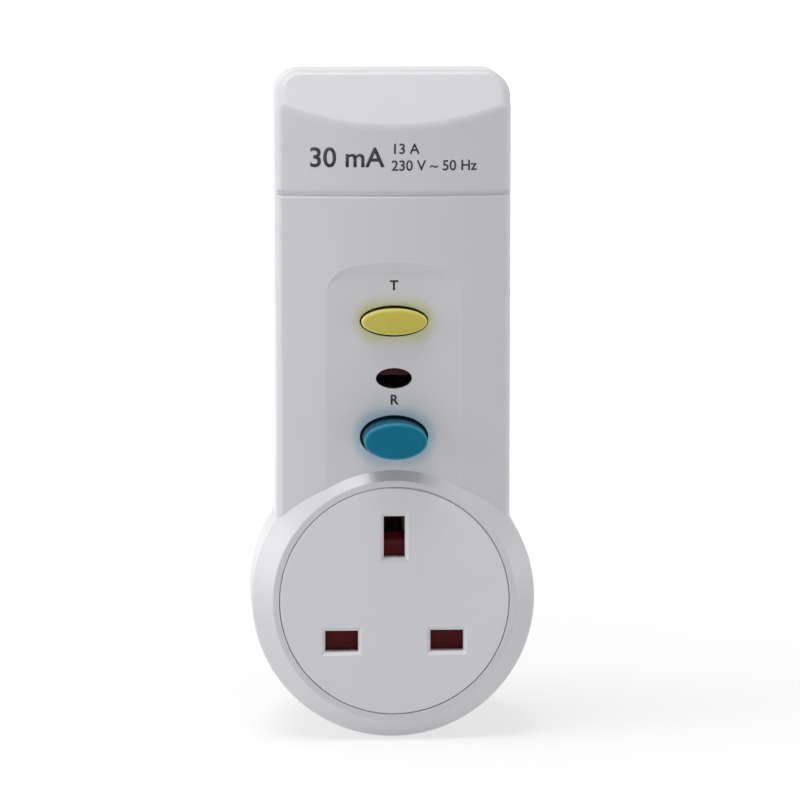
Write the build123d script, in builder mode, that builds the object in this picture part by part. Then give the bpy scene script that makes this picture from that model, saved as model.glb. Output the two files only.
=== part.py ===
"""Plug-in residual current adapter: a three-pin mains plug on the back, a shuttered
socket on the front, and a trip mechanism with test and reset buttons above it.

Millimetres. +Z is up, -Y faces the user and +Y points into the wall. The origin is on the
flat plug face, on the axis of the round socket boss.
"""

import os
from math import atan2, cos, degrees, pi, radians, sqrt, tan

from build123d import *

os.makedirs("parts", exist_ok=True)

# Driving dimensions of the casing
overall_depth = 42.0  # socket face to plug face
front_shell_depth = 22.5  # socket face to parting line
body_width = 49.4
corner_radius = 5.4
body_edge_radius = 2.2
crown_radius = 100.0  # the front of the body bulges gently from side to side
crown_setback = 0.95  # middle of the crown behind the socket face
slope_angle = 33.0  # of the top of the front, which slopes back
slope_blend_radius = 2.5
boss_overhang = 5.2  # the round boss stands out this far past the body's sides
boss_cone_depth = 4.3
boss_cone_width = 4.3  # the boss narrows this much towards its rim
boss_shoulder_radius = 1.4
boss_passage_depth = 6.3  # from the socket face to the passage between boss and body
rim_width = 1.4  # from the boss's rim to the socket face
rim_edge_radius = 0.4
ledge_width = 1.2  # the ledge behind the socket face
cover_wall = 2.2
rear_floor = 3.0
rear_step = 0.3  # the rear cover is drawn in this much at the parting line
rear_taper_angle = 3.0
rear_boss_overhang = 0.9  # past the body's half width, at the plug face
rear_edge_radius = 1.2

boss_radius = body_width / 2 + boss_overhang
boss_rim_radius = boss_radius - boss_cone_width
face_radius = boss_rim_radius - rim_width
ledge_inner_radius = face_radius - ledge_width
rear_boss_radius = body_width / 2 + rear_boss_overhang

# The three-pin system shared by the plug and the socket
pin_pitch = 22.2  # live to neutral, and both to earth
line_drop = 8.6  # live and neutral lie this far below the boss axis
live_x = pin_pitch / 2
line_z = -line_drop
earth_z = line_z + pin_pitch
line_pin_width, line_pin_thickness, line_pin_length = 6.35, 4.0, 17.7
earth_pin_width, earth_pin_height, earth_pin_length = 4.0, 8.0, 22.7
sleeve_length = 9.5
line_slot_width, line_slot_height = 7.0, 4.5
earth_slot_width, earth_slot_height = 4.5, 8.8
slot_chamfer = 0.7
face_gap = 0.1
face_thickness = 3.0
ledge_thickness = 1.5

# Heights up the front, each from the one below it
reset_above_earth = 21.05
window_above_reset = 12.35
test_above_window = 12.1
panel_above_test = 10.3
groove_above_test = 26.65
slope_above_groove = 13.9
top_above_slope = 11.55
reset_height = earth_z + reset_above_earth
window_height = reset_height + window_above_reset
test_height = window_height + test_above_window
panel_top = test_height + panel_above_test
groove_height = test_height + groove_above_test
slope_height = groove_height + slope_above_groove
body_height = slope_height + top_above_slope

# Details of the front
groove_width = 1.5
groove_depth = 0.5
panel_margin = 10.4  # from the flat panel to the body's sides
panel_half_width = body_width / 2 - panel_margin
panel_corner_radius = 5.6
panel_wall_width = 2.0  # of the slope from the panel out to the crown, at its top
test_hole_width, test_hole_height = 14.4, 6.6
test_width, test_rise = 13.8, 5.6
test_protrusion = 2.3
test_travel = 1.5
test_edge_radius = 0.9
reset_hole_width, reset_hole_height = 14.4, 9.2
reset_width, reset_rise = 13.3, 7.7
reset_protrusion = 8.0
reset_travel = 3.5
reset_edge_radius = 1.0
button_flange_margin = 1.2
button_flange_thickness = 1.2
window_width, window_rise = 7.6, 4.4

# Fits
running_gap = 0.2  # sliding pieces
loose_gap = 0.4  # round moving pieces that must never rub
screw_gap = 0.05
overrun = 2.0  # how far a cut runs past the face that it opens

# Heights of the main planes on the Y axis
y_face = -overall_depth
y_part = y_face + front_shell_depth
y_crown = y_face + crown_setback
crown_sag = crown_radius - sqrt(crown_radius**2 - panel_half_width**2)
y_panel = y_crown + crown_sag
y_panel_inside = y_panel + cover_wall
y_face_back = y_face + face_thickness
y_ledge_back = y_face_back + ledge_thickness
y_floor = -rear_floor

# Where the inner assemblies sit
frame_side_gap = 3.4  # from the mechanism frame to the rear cover's side walls
frame_behind_panel = 8.8
frame_depth = 11.7  # front of the frame to the front of its floor
frame_below_reset, frame_above_reset = 10.8, 8.8
board_behind_frame = 15.0  # front of the frame to the front of the circuit board
board_thickness = 1.6
board_overhang = 0.6  # past the frame's sides
board_above_frame, board_below_top = 1.4, 10.7
board_post_side, board_post_low, board_post_high = 3.0, 4.0, 3.0  # from the board's edges
carrier_behind_face = 5.4
carrier_depth = 15.6
line_block_half, line_block_rise = 17.2, 4.8  # round the two line contacts
frame_half = body_width / 2 - rear_step - cover_wall - frame_side_gap
frame_front = y_panel_inside + frame_behind_panel
frame_floor_front = frame_front + frame_depth
frame_z = (reset_height - frame_below_reset, reset_height + frame_above_reset)
board_front = frame_front + board_behind_frame
board_y = board_front + board_thickness  # back of the board
board_half = frame_half + board_overhang
board_z = (frame_z[1] + board_above_frame, body_height - board_below_top)
board_post_x = board_half - board_post_side
board_post_z = (board_z[0] + board_post_low, board_z[1] - board_post_high)
carrier_front = y_face + carrier_behind_face  # behind the shutter
carrier_back = carrier_front + carrier_depth


def facing(y):
    """Plane at this Y that looks out of the front: its own x and y are X and Z."""
    return Plane.XZ.offset(-y)


def brick(x, y, z, mode=Mode.ADD):
    """A block between two limits on each axis."""
    with Locations(((x[0] + x[1]) / 2, (y[0] + y[1]) / 2, (z[0] + z[1]) / 2)):
        Box(abs(x[1] - x[0]), abs(y[1] - y[0]), abs(z[1] - z[0]), mode=mode)


def rod(x, z, y_back, y_front, radius, mode=Mode.ADD):
    """A round bar along Y."""
    with BuildSketch(facing(y_back)) as section:
        with Locations((x, z)):
            Circle(radius)
    extrude(section.sketch, amount=y_back - y_front, mode=mode)


def upright(x, y, z_low, z_high, radius, mode=Mode.ADD):
    """A round bar along Z."""
    with BuildSketch(Plane.XY.offset(z_low)) as section:
        with Locations((x, y)):
            Circle(radius)
    extrude(section.sketch, amount=z_high - z_low, mode=mode)


def oval(z, width, height, y_back, y_front, mode=Mode.ADD):
    """An elliptical bar along Y on the centre line."""
    with BuildSketch(facing(y_back)) as section:
        with Locations((0, z)):
            Ellipse(width / 2, height / 2)
    extrude(section.sketch, amount=y_back - y_front, mode=mode)


def hollow_coil(y_back, y_front, x, z, radius, wire):
    """The space a small hidden coil spring takes up, as a sleeve along Y."""
    rod(x, z, y_back, y_front, radius)
    rod(x, z, y_back, y_front, radius - wire, Mode.SUBTRACT)


def save(builder, name):
    """Label a finished piece and write it out."""
    builder.part.label = name
    export_step(builder.part, f"parts/{name}.step")


# The upper body as a block: crowned across, rounded at its top corners, sloped at the top
def body_block(inset, z_low, edge_radius=0):
    half = body_width / 2 - inset
    radius = crown_radius - inset
    y_front = y_crown + inset
    y_side = y_front + radius - sqrt(radius**2 - half**2)
    top = body_height - inset
    lean = tan(radians(slope_angle))
    y_slope = y_crown + inset / cos(radians(slope_angle))
    z_start = slope_height - (y_slope - y_front) / lean
    with BuildPart() as block:
        with BuildSketch(Plane.XY.offset(z_low)):
            with BuildLine():
                ThreePointArc((-half, y_side), (0, y_front), (half, y_side))
                Polyline((half, y_side), (half, y_part), (-half, y_part), (-half, y_side))
            make_face()
        extrude(amount=top - z_low)
        fillet(block.edges().filter_by(Axis.Y).group_by(Axis.Z)[-1], corner_radius - inset)
        with BuildSketch(Plane.YZ.offset(-body_width)):
            with BuildLine():
                Polyline(
                    (y_front - overrun, z_start - overrun / lean),
                    (y_front + (top + overrun - z_start) * lean, top + overrun),
                    (y_front - overrun, top + overrun),
                    close=True,
                )
            make_face()
        extrude(amount=body_width * 2, mode=Mode.SUBTRACT)
        if edge_radius:
            bends = block.edges().filter_by(GeomType.ELLIPSE)
            fillet(bends.filter_by(lambda e: abs(e.center().X) < overrun), slope_blend_radius)
            outer = block.edges().filter_by(
                lambda e: e.center().Y < y_part - overrun
                and e.center().Z > z_low + overrun
                and (abs(e.center().X) > half - corner_radius or e.center().Z > top - overrun)
                and not (abs(e.tangent_at(0.5).Y) > cos(radians(slope_angle)))
            )
            fillet(outer, edge_radius)
    return block.part


# Casing: front cover
screw_side, screw_below_top = 6.1, 6.0  # two screws at the top
low_screw_x, low_screw_inside_rim = 9.0, 5.6  # two at the bottom
screw_post_radius = 2.6
rear_post_radius = 3.3
screw_radius = 1.2
screw_head_radius = 2.2
screw_head_depth = 2.0
screw_seat_depth = 14.0  # from the plug face to the seat of the head
screw_bite = 5.0  # how far a screw reaches past the parting line
top_post_behind_face = 7.0
screw_x, screw_z = body_width / 2 - screw_side, body_height - screw_below_top
low_screw_z = -(boss_rim_radius - low_screw_inside_rim)
screw_places = [(screw_x, screw_z), (-screw_x, screw_z), (low_screw_x, low_screw_z),
                (-low_screw_x, low_screw_z)]
ledge_outer_radius = boss_rim_radius + cover_wall / 3
flag_rail_thickness = 0.8
flag_rail_depth = 1.8
flag_rail_below, flag_rail_above = 3.6, 7.4  # the middle of the window
flag_half = 4.9  # half the width of the red flag
flag_arm_x = (10.1, 11.3)
frame_stay_inset, frame_stay_radius = 3.9, 1.6

with BuildPart() as front_cover:
    add(body_block(0, 0, body_edge_radius))
    # The flat panel round the buttons, with walls that slope gently out to the crown
    for y, spread in ((y_panel, 0), (y_panel - crown_sag * 2, panel_wall_width * 2)):
        with BuildSketch(facing(y)):
            with Locations((0, panel_top / 2)):
                RectangleRounded((panel_half_width + spread) * 2, panel_top + spread * 2,
                                 panel_corner_radius + spread)
    loft(ruled=True, mode=Mode.SUBTRACT)
    # The shallow line across the front, with a sloping lower lip
    with BuildSketch(Plane.YZ):
        with BuildLine():
            groove_top = groove_height + groove_width / 2
            groove_low = groove_height - groove_width / 2
            Polyline(
                (y_crown - groove_depth, groove_top),
                (y_crown + groove_depth, groove_top),
                (y_crown + groove_depth, groove_low + groove_depth),
                (y_crown - groove_depth, groove_low - groove_depth),
                close=True,
            )
        make_face()
    revolve(axis=Axis((0, y_crown + crown_radius, 0), (0, 0, 1)), mode=Mode.SUBTRACT)
    # The round socket boss with its conical band
    with BuildSketch(Plane.XY) as boss_profile:
        with BuildLine():
            Polyline(
                (0, y_part),
                (boss_radius, y_part),
                (boss_radius, y_face + boss_cone_depth),
                (boss_rim_radius, y_face),
                (0, y_face),
                close=True,
            )
        make_face()
        corners = boss_profile.vertices()
        fillet(corners.group_by(Axis.X)[-1].sort_by(Axis.Y)[0], boss_shoulder_radius)
        rim = boss_profile.vertices().filter_by(lambda v: abs(v.X - boss_rim_radius) < face_gap)
        fillet(rim.sort_by(Axis.Y)[0], rim_edge_radius)
    revolve(axis=Axis.Y)
    # The hollow inside
    add(body_block(cover_wall, boss_rim_radius + cover_wall / 2), mode=Mode.SUBTRACT)
    with BuildSketch(Plane.XY):
        with BuildLine():
            Polyline(
                (0, y_part),
                (boss_radius - cover_wall, y_part),
                (boss_radius - cover_wall, y_face + boss_cone_depth),
                (ledge_outer_radius, y_ledge_back),
                (0, y_ledge_back),
                close=True,
            )
        make_face()
    revolve(axis=Axis.Y, mode=Mode.SUBTRACT)
    brick((-body_width / 2 + cover_wall, body_width / 2 - cover_wall),
          (y_face + boss_passage_depth, y_part),
          (boss_radius / 2, boss_radius), Mode.SUBTRACT)
    # Openings for the socket face, the buttons and the window
    rod(0, 0, y_face_back, y_face - overrun, face_radius + face_gap, Mode.SUBTRACT)
    rod(0, 0, y_ledge_back + overrun, y_face, ledge_inner_radius, Mode.SUBTRACT)
    oval(test_height, test_hole_width, test_hole_height, y_panel_inside + overrun,
         y_panel - overrun, Mode.SUBTRACT)
    oval(reset_height, reset_hole_width, reset_hole_height, y_panel_inside + overrun,
         y_panel - overrun, Mode.SUBTRACT)
    oval(window_height, window_width, window_rise, y_panel_inside + overrun,
         y_panel - overrun, Mode.SUBTRACT)
    # Screw posts, and the rails beside the flag
    for x, z in screw_places[:2]:
        rod(x, z, y_part, y_face + top_post_behind_face, screw_post_radius)
    for x, z in screw_places[2:]:
        rod(x, z, y_part, y_ledge_back, screw_post_radius)
    for x, z in screw_places:
        rod(x, z, y_part + overrun, y_part - screw_bite - overrun / 2,
            screw_radius + screw_gap, Mode.SUBTRACT)
    for x in (-flag_half - running_gap - flag_rail_thickness, flag_arm_x[1] + running_gap):
        brick((x, x + flag_rail_thickness), (y_panel, y_panel_inside + flag_rail_depth),
              (window_height - flag_rail_below, window_height + flag_rail_above))
    # Stays that hold the mechanism frame back against the rear floor
    frame_stay_x = frame_half - frame_stay_inset
    for x in (frame_stay_x, -frame_stay_x):
        rod(x, reset_height, frame_front, y_panel_inside - cover_wall / 2, frame_stay_radius)
save(front_cover, "front_cover")

# Casing: rear cover
lip_thickness = 1.0
lip_height = 1.4
board_post_radius = 2.5
board_screw_radius = 0.9
carrier_rest_overlap, carrier_rest_width = 0.6, 1.8
carrier_rest_half = 2.5
rear_half_width = body_width / 2 - rear_step
pin_clearance = 0.02
retainer_screw_x, retainer_screw_z = 4.6, 2.4
retainer_screw_radius = 0.9
retainer_screw_bite = 2.0

with BuildPart() as rear_cover:
    # Upper body, drawn in towards the plug face
    rear_length = -y_part
    with BuildSketch(facing(y_part)) as upper:
        with Locations((0, (body_height - rear_step) / 2)):
            Rectangle(rear_half_width * 2, body_height - rear_step)
        fillet(upper.vertices().group_by(Axis.Z)[-1], corner_radius - rear_step)
    extrude(amount=-rear_length, taper=rear_taper_angle)
    # Round base
    with BuildSketch(Plane.XY):
        with BuildLine():
            Polyline((0, y_part), (boss_radius - rear_step, y_part), (rear_boss_radius, 0),
                     (0, 0), close=True)
        make_face()
    revolve(axis=Axis.Y)
    fillet(rear_cover.faces().sort_by(Axis.Y)[-1].edges(), rear_edge_radius)
    # Hollow
    with BuildSketch(facing(y_part)) as hollow:
        with Locations((0, (body_height - rear_step) / 2)):
            Rectangle((rear_half_width - cover_wall) * 2,
                      body_height - rear_step - cover_wall * 2)
        fillet(hollow.vertices().group_by(Axis.Z)[-1], corner_radius - cover_wall)
    extrude(amount=-(rear_length - rear_floor), taper=rear_taper_angle, mode=Mode.SUBTRACT)
    with BuildSketch(Plane.XY):
        with BuildLine():
            Polyline((0, y_part), (boss_radius - rear_step - cover_wall, y_part),
                     (rear_boss_radius - cover_wall, y_floor), (0, y_floor), close=True)
        make_face()
    revolve(axis=Axis.Y, mode=Mode.SUBTRACT)
    # Lip that locates inside the front cover
    lip_inset = cover_wall + running_gap
    with BuildSketch(facing(y_part)) as lip:
        for inset, mode in ((lip_inset, Mode.ADD), (lip_inset + lip_thickness, Mode.SUBTRACT)):
            with BuildSketch(mode=Mode.PRIVATE) as outline:
                with Locations((0, (body_height - inset) / 2)):
                    Rectangle(body_width - inset * 2, body_height - inset)
                fillet(outline.vertices().group_by(Axis.Y)[-1], corner_radius - inset)
                Circle(boss_radius - inset)
            add(outline.sketch, mode=mode)
    extrude(amount=lip_height)
    extrude(lip.sketch, amount=-lip_height)
    # Posts
    for x, z in screw_places:
        rod(x, z, y_floor + overrun / 2, y_part, rear_post_radius)
    for x, z in screw_places:
        rod(x, z, overrun, y_part - overrun, screw_radius + screw_gap * 2, Mode.SUBTRACT)
        rod(x, z, overrun, -screw_seat_depth, screw_head_radius + running_gap, Mode.SUBTRACT)
    for z in board_post_z:
        for x in (board_post_x, -board_post_x):
            rod(x, z, y_floor + overrun / 2, board_y, board_post_radius)
            rod(x, z, board_y + rear_floor * 2, board_y, board_screw_radius + screw_gap,
                Mode.SUBTRACT)
    rest_inner_x = line_block_half - carrier_rest_overlap
    for side in (1, -1):
        brick((side * rest_inner_x, side * (rest_inner_x + carrier_rest_width)),
              (y_floor + overrun / 2, carrier_back),
              (line_z - carrier_rest_half, line_z + carrier_rest_half))
    for x in (retainer_screw_x, -retainer_screw_x):
        rod(x, retainer_screw_z, y_floor + retainer_screw_bite + screw_gap, y_floor - overrun,
            retainer_screw_radius + screw_gap, Mode.SUBTRACT)
    # Holes for the plug pins
    for x in (live_x, -live_x):
        brick((x - line_pin_width / 2 - pin_clearance, x + line_pin_width / 2 + pin_clearance),
              (y_floor - overrun, overrun),
              (line_z - line_pin_thickness / 2 - pin_clearance,
               line_z + line_pin_thickness / 2 + pin_clearance), Mode.SUBTRACT)
    brick((-earth_pin_width / 2 - pin_clearance, earth_pin_width / 2 + pin_clearance),
          (y_floor - overrun, overrun),
          (earth_z - earth_pin_height / 2 - pin_clearance,
           earth_z + earth_pin_height / 2 + pin_clearance), Mode.SUBTRACT)
save(rear_cover, "rear_cover")

# Socket face: a round plate with the three slots, chamfered round their edges
rail_inner_x = 16.6
rail_width = 1.4
rail_half = 3.7
stem_rail_x = 4.0
stem_rail_width = 1.2
stem_rail_above_earth = 3.9
spring_seat_inside_edge = 3.6  # from the edge of the socket face
spring_seat_thickness = 1.4
spring_seat_width = 4.0
carrier_post_x, carrier_post_z = 9.5, 8.0
carrier_post_radius = 2.6
carrier_screw_radius = 1.1
carrier_screw_bite = 1.8  # how far the screw goes into the socket face
face_edge_radius = 0.35
rail_z = (line_z - rail_half, line_z + rail_half)
spring_seat_top = -(face_radius - spring_seat_inside_edge)

with BuildPart() as socket_face:
    rod(0, 0, y_face_back, y_face, face_radius)
    fillet(socket_face.edges().group_by(Axis.Y)[0], face_edge_radius)
    for x in (live_x, -live_x):
        brick((x - line_slot_width / 2, x + line_slot_width / 2), (y_face - overrun, y_face_back
              + overrun), (line_z - line_slot_height / 2, line_z + line_slot_height / 2),
              Mode.SUBTRACT)
    brick((-earth_slot_width / 2, earth_slot_width / 2), (y_face - overrun, y_face_back + overrun),
          (earth_z - earth_slot_height / 2, earth_z + earth_slot_height / 2), Mode.SUBTRACT)
    slot_edges = socket_face.faces().sort_by(Axis.Y)[0].inner_wires().edges()
    chamfer(slot_edges, slot_chamfer)
    for side in (1, -1):
        brick((side * rail_inner_x, side * (rail_inner_x + rail_width)),
              (y_face_back, carrier_front), rail_z)
        brick((side * stem_rail_x, side * (stem_rail_x + stem_rail_width)),
              (y_face_back, carrier_front), (0, earth_z + stem_rail_above_earth))
        rod(side * carrier_post_x, carrier_post_z, carrier_front, y_face_back,
            carrier_post_radius)
        rod(side * carrier_post_x, carrier_post_z, carrier_front + overrun,
            y_face_back - carrier_screw_bite, carrier_screw_radius + screw_gap, Mode.SUBTRACT)
    brick((-spring_seat_width / 2, spring_seat_width / 2), (y_face_back, carrier_front),
          (spring_seat_top - spring_seat_thickness, spring_seat_top))
save(socket_face, "socket_face")

# Shutter: a red plate behind the slots that the earth pin drives down
shutter_travel = 5.0
shutter_front = y_face_back + running_gap
shutter_back = carrier_front - running_gap
shutter_bar_above, shutter_bar_below = 2.85, 3.3  # the line of the two slots
shutter_bar_half = rail_inner_x - running_gap * 2
shutter_corner = (1.5, 2.5)
shutter_stem_half = 3.4
shutter_stem_above_earth = 0.4
shutter_ramp = 1.4
shutter_bar_top = line_z + shutter_bar_above
shutter_bar_bottom = line_z - shutter_bar_below
shutter_stem_top = earth_z + shutter_stem_above_earth

with BuildPart() as shutter:
    with BuildSketch(facing(shutter_back)):
        with BuildLine():
            Polyline(
                (shutter_stem_half, shutter_stem_top),
                (shutter_stem_half, shutter_bar_top),
                (shutter_bar_half, shutter_bar_top),
                (shutter_bar_half, shutter_bar_bottom + shutter_corner[1]),
                (shutter_bar_half - shutter_corner[0], shutter_bar_bottom),
                (-shutter_bar_half + shutter_corner[0], shutter_bar_bottom),
                (-shutter_bar_half, shutter_bar_bottom + shutter_corner[1]),
                (-shutter_bar_half, shutter_bar_top),
                (-shutter_stem_half, shutter_bar_top),
                (-shutter_stem_half, shutter_stem_top),
                close=True,
            )
        make_face()
    extrude(amount=shutter_back - shutter_front)
    ramp = shutter.edges().group_by(Axis.Z)[-1].sort_by(Axis.Y)[0]
    chamfer(ramp, shutter_ramp)
save(shutter, "shutter")

spring_wire = 0.35
shutter_spring_radius = 1.0
with BuildPart() as shutter_spring:
    middle = (shutter_front + shutter_back) / 2
    upright(0, middle, spring_seat_top, shutter_bar_bottom, shutter_spring_radius)
    upright(0, middle, spring_seat_top, shutter_bar_bottom,
            shutter_spring_radius - spring_wire, Mode.SUBTRACT)
save(shutter_spring, "shutter_spring")

# Contact carrier: holds the three socket contacts in pockets behind the shutter
carrier_plate = 1.4
carrier_low_half, carrier_below_line = 18.8, 8.6
carrier_high_half, carrier_above_earth = 12.4, 6.4
earth_block_half, earth_block_rise = 4.9, 6.2
pocket_gap = 0.3
contact_metal = 0.8
line_contact_length_x = 6.0
line_contact_grip = 3.8  # gap between the blades
earth_contact_length_z = 7.0
earth_contact_grip = 3.8
contact_mouth_depth = 2.1  # behind the front of the carrier
aperture_margin = 0.25
carrier_ear_reach, carrier_ear_above_line = 0.9, 0.6  # ears that catch behind the ledge
line_pocket = (line_contact_length_x / 2 + pocket_gap,
               line_contact_grip / 2 + contact_metal + pocket_gap)
earth_pocket = (earth_contact_grip / 2 + contact_metal + pocket_gap,
                earth_contact_length_z / 2 + pocket_gap)
carrier_screw_head = 2.1
carrier_screw_head_depth = 1.6
line_block_z = (line_z - line_block_rise, line_z + line_block_rise)
contact_mouth = carrier_front + contact_mouth_depth

with BuildPart() as contact_carrier:
    plate_back = carrier_front + carrier_plate
    brick((-carrier_low_half, carrier_low_half), (carrier_front, plate_back),
          (line_z - carrier_below_line, line_block_z[1]))
    brick((-carrier_high_half, carrier_high_half), (carrier_front, plate_back),
          (line_block_z[1], earth_z + carrier_above_earth))
    for side in (1, -1):
        brick((side * (rail_inner_x + rail_width + running_gap),
               side * (ledge_inner_radius + carrier_ear_reach)), (y_ledge_back, plate_back),
              (line_z + carrier_ear_above_line, line_block_z[1]))
    brick((-line_block_half, line_block_half), (carrier_front, carrier_back), line_block_z)
    brick((-earth_block_half, earth_block_half), (carrier_front, carrier_back),
          (line_block_z[1], earth_z + earth_block_rise))
    for x in (live_x, -live_x):
        brick((x - line_pocket[0], x + line_pocket[0]), (plate_back, carrier_back + overrun),
              (line_z - line_pocket[1], line_z + line_pocket[1]), Mode.SUBTRACT)
        brick((x - line_pin_width / 2 - aperture_margin, x + line_pin_width / 2 + aperture_margin),
              (carrier_front - overrun, plate_back + overrun),
              (line_z - line_pin_thickness / 2 - aperture_margin,
               line_z + line_pin_thickness / 2 + aperture_margin), Mode.SUBTRACT)
        side = 1 if x > 0 else -1
        rod(side * carrier_post_x, carrier_post_z, plate_back + overrun, carrier_front - overrun,
            carrier_screw_radius + screw_gap * 2, Mode.SUBTRACT)
    brick((-earth_pocket[0], earth_pocket[0]), (plate_back, carrier_back + overrun),
          (earth_z - earth_pocket[1], earth_z + earth_pocket[1]), Mode.SUBTRACT)
    brick((-earth_pin_width / 2 - aperture_margin, earth_pin_width / 2 + aperture_margin),
          (carrier_front - overrun, plate_back + overrun),
          (earth_z - earth_pin_height / 2 - aperture_margin,
           earth_z + earth_pin_height / 2 + aperture_margin), Mode.SUBTRACT)
save(contact_carrier, "contact_carrier")

with BuildPart() as carrier_screws:
    for side in (1, -1):
        rod(side * carrier_post_x, carrier_post_z, plate_back + carrier_screw_head_depth,
            plate_back, carrier_screw_head)
        rod(side * carrier_post_x, carrier_post_z, plate_back,
            y_face_back - carrier_screw_bite + screw_gap, carrier_screw_radius)
save(carrier_screws, "carrier_screws")


# Socket contacts: folded brass clips, open to the front
def clip(x, z, reach, grip, along_x):
    half = grip / 2 + contact_metal
    wide = (x - reach / 2, x + reach / 2) if along_x else (x - half, x + half)
    tall = (z - half, z + half) if along_x else (z - reach / 2, z + reach / 2)
    slot_x = (x - reach, x + reach) if along_x else (x - grip / 2, x + grip / 2)
    slot_z = (z - grip / 2, z + grip / 2) if along_x else (z - reach, z + reach)
    brick(wide, (contact_mouth, carrier_back), tall)
    brick(slot_x, (contact_mouth - overrun, carrier_back - contact_metal), slot_z, Mode.SUBTRACT)


for side, pole in ((1, "live"), (-1, "neutral")):
    with BuildPart() as line_contact:
        clip(side * live_x, line_z, line_contact_length_x, line_contact_grip, True)
    save(line_contact, f"{pole}_socket_contact")

with BuildPart() as earth_contact:
    clip(0, earth_z, earth_contact_length_z, earth_contact_grip, False)
save(earth_contact, "earth_socket_contact")

# Plug pins: rectangular brass, headed inside the rear cover, sleeved at the root
pin_tip_chamfer = 0.9
head_margin = 1.4
head_thickness = 1.5
sleeve_wall = 0.6
tail_reach = 9.0  # how far a pin's tail stands inside the plug face


def pin(x, z, width, height, length, sleeved):
    """A plug pin. The sleeved part and the tail are the thinner core."""
    core_w, core_h = width / 2 - sleeve_wall, height / 2 - sleeve_wall
    root = sleeve_length if sleeved else 0
    brick((x - width / 2, x + width / 2), (root, length), (z - height / 2, z + height / 2))
    brick((x - width / 2, x + width / 2), (y_floor, 0), (z - height / 2, z + height / 2))
    if sleeved:
        brick((x - core_w, x + core_w), (0, root), (z - core_h, z + core_h))
    brick((x - width / 2 - head_margin, x + width / 2 + head_margin),
          (y_floor - head_thickness, y_floor),
          (z - height / 2 - head_margin, z + height / 2 + head_margin))
    brick((x - core_w, x + core_w), (-tail_reach, y_floor), (z - core_h, z + core_h))


for side, pole in ((1, "live"), (-1, "neutral")):
    with BuildPart() as line_pin:
        pin(side * live_x, line_z, line_pin_width, line_pin_thickness, line_pin_length, True)
        chamfer(line_pin.faces().sort_by(Axis.Y)[-1].edges(), pin_tip_chamfer)
    save(line_pin, f"{pole}_pin")
    with BuildPart() as sleeve:
        x = side * live_x
        brick((x - line_pin_width / 2, x + line_pin_width / 2), (0, sleeve_length),
              (line_z - line_pin_thickness / 2, line_z + line_pin_thickness / 2))
        brick((x - line_pin_width / 2 + sleeve_wall, x + line_pin_width / 2 - sleeve_wall),
              (-overrun, sleeve_length + overrun),
              (line_z - line_pin_thickness / 2 + sleeve_wall,
               line_z + line_pin_thickness / 2 - sleeve_wall), Mode.SUBTRACT)
    save(sleeve, f"{pole}_pin_sleeve")

with BuildPart() as earth_pin:
    pin(0, earth_z, earth_pin_width, earth_pin_height, earth_pin_length, False)
    chamfer(earth_pin.faces().sort_by(Axis.Y)[-1].edges(), pin_tip_chamfer)
save(earth_pin, "earth_pin")

# Pin retainer: a plate over the pin heads, screwed to the rear floor
retainer_thickness = 2.0
retainer_half, retainer_below_line, retainer_above_line = 16.4, 4.2, 5.6
retainer_stem_half, retainer_above_earth = 6.4, 7.0
retainer_head_radius, retainer_head_depth = 1.7, 1.2
retainer_back = y_floor - head_thickness
retainer_front = retainer_back - retainer_thickness
retainer_mid = line_z + retainer_above_line

with BuildPart() as pin_retainer:
    brick((-retainer_half, retainer_half), (retainer_front, retainer_back),
          (line_z - retainer_below_line, retainer_mid))
    brick((-retainer_stem_half, retainer_stem_half), (retainer_front, retainer_back),
          (retainer_mid, earth_z + retainer_above_earth))
    for side in (1, -1):
        rod(side * retainer_screw_x, retainer_screw_z, y_floor, retainer_front,
            retainer_screw_radius + head_margin)
        rod(side * retainer_screw_x, retainer_screw_z, overrun, retainer_front - overrun,
            retainer_screw_radius + screw_gap, Mode.SUBTRACT)
        x = side * live_x
        brick((x - line_pin_width / 2 + sleeve_wall - screw_gap,
               x + line_pin_width / 2 - sleeve_wall + screw_gap),
              (retainer_front - overrun, overrun),
              (line_z - line_pin_thickness / 2 + sleeve_wall - screw_gap,
               line_z + line_pin_thickness / 2 - sleeve_wall + screw_gap), Mode.SUBTRACT)
    brick((-earth_pin_width / 2 + sleeve_wall - screw_gap,
           earth_pin_width / 2 - sleeve_wall + screw_gap),
          (retainer_front - overrun, overrun),
          (earth_z - earth_pin_height / 2 + sleeve_wall - screw_gap,
           earth_z + earth_pin_height / 2 - sleeve_wall + screw_gap), Mode.SUBTRACT)
save(pin_retainer, "pin_retainer")

with BuildPart() as retainer_screws:
    for side in (1, -1):
        rod(side * retainer_screw_x, retainer_screw_z, retainer_front,
            retainer_front - retainer_head_depth, retainer_head_radius)
        rod(side * retainer_screw_x, retainer_screw_z, y_floor + retainer_screw_bite,
            retainer_front, retainer_screw_radius)
save(retainer_screws, "retainer_screws")

# Cover screws, driven from the back
with BuildPart() as cover_screws:
    for x, z in screw_places:
        rod(x, z, -screw_seat_depth + screw_head_depth, -screw_seat_depth, screw_head_radius)
        rod(x, z, -screw_seat_depth, y_part - screw_bite, screw_radius)
        rod(x, z, -screw_seat_depth + screw_head_depth + overrun,
            -screw_seat_depth + screw_head_depth / 2, screw_radius / 2, Mode.SUBTRACT)
save(cover_screws, "cover_screws")

# Earth link between the earth pin and the earth contact
link_half, link_metal = 1.3, 1.0
with BuildPart() as earth_link:
    brick((-link_half, link_half), (carrier_back, -tail_reach),
          (earth_z - link_metal / 2, earth_z + link_metal / 2))
save(earth_link, "earth_link")

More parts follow.
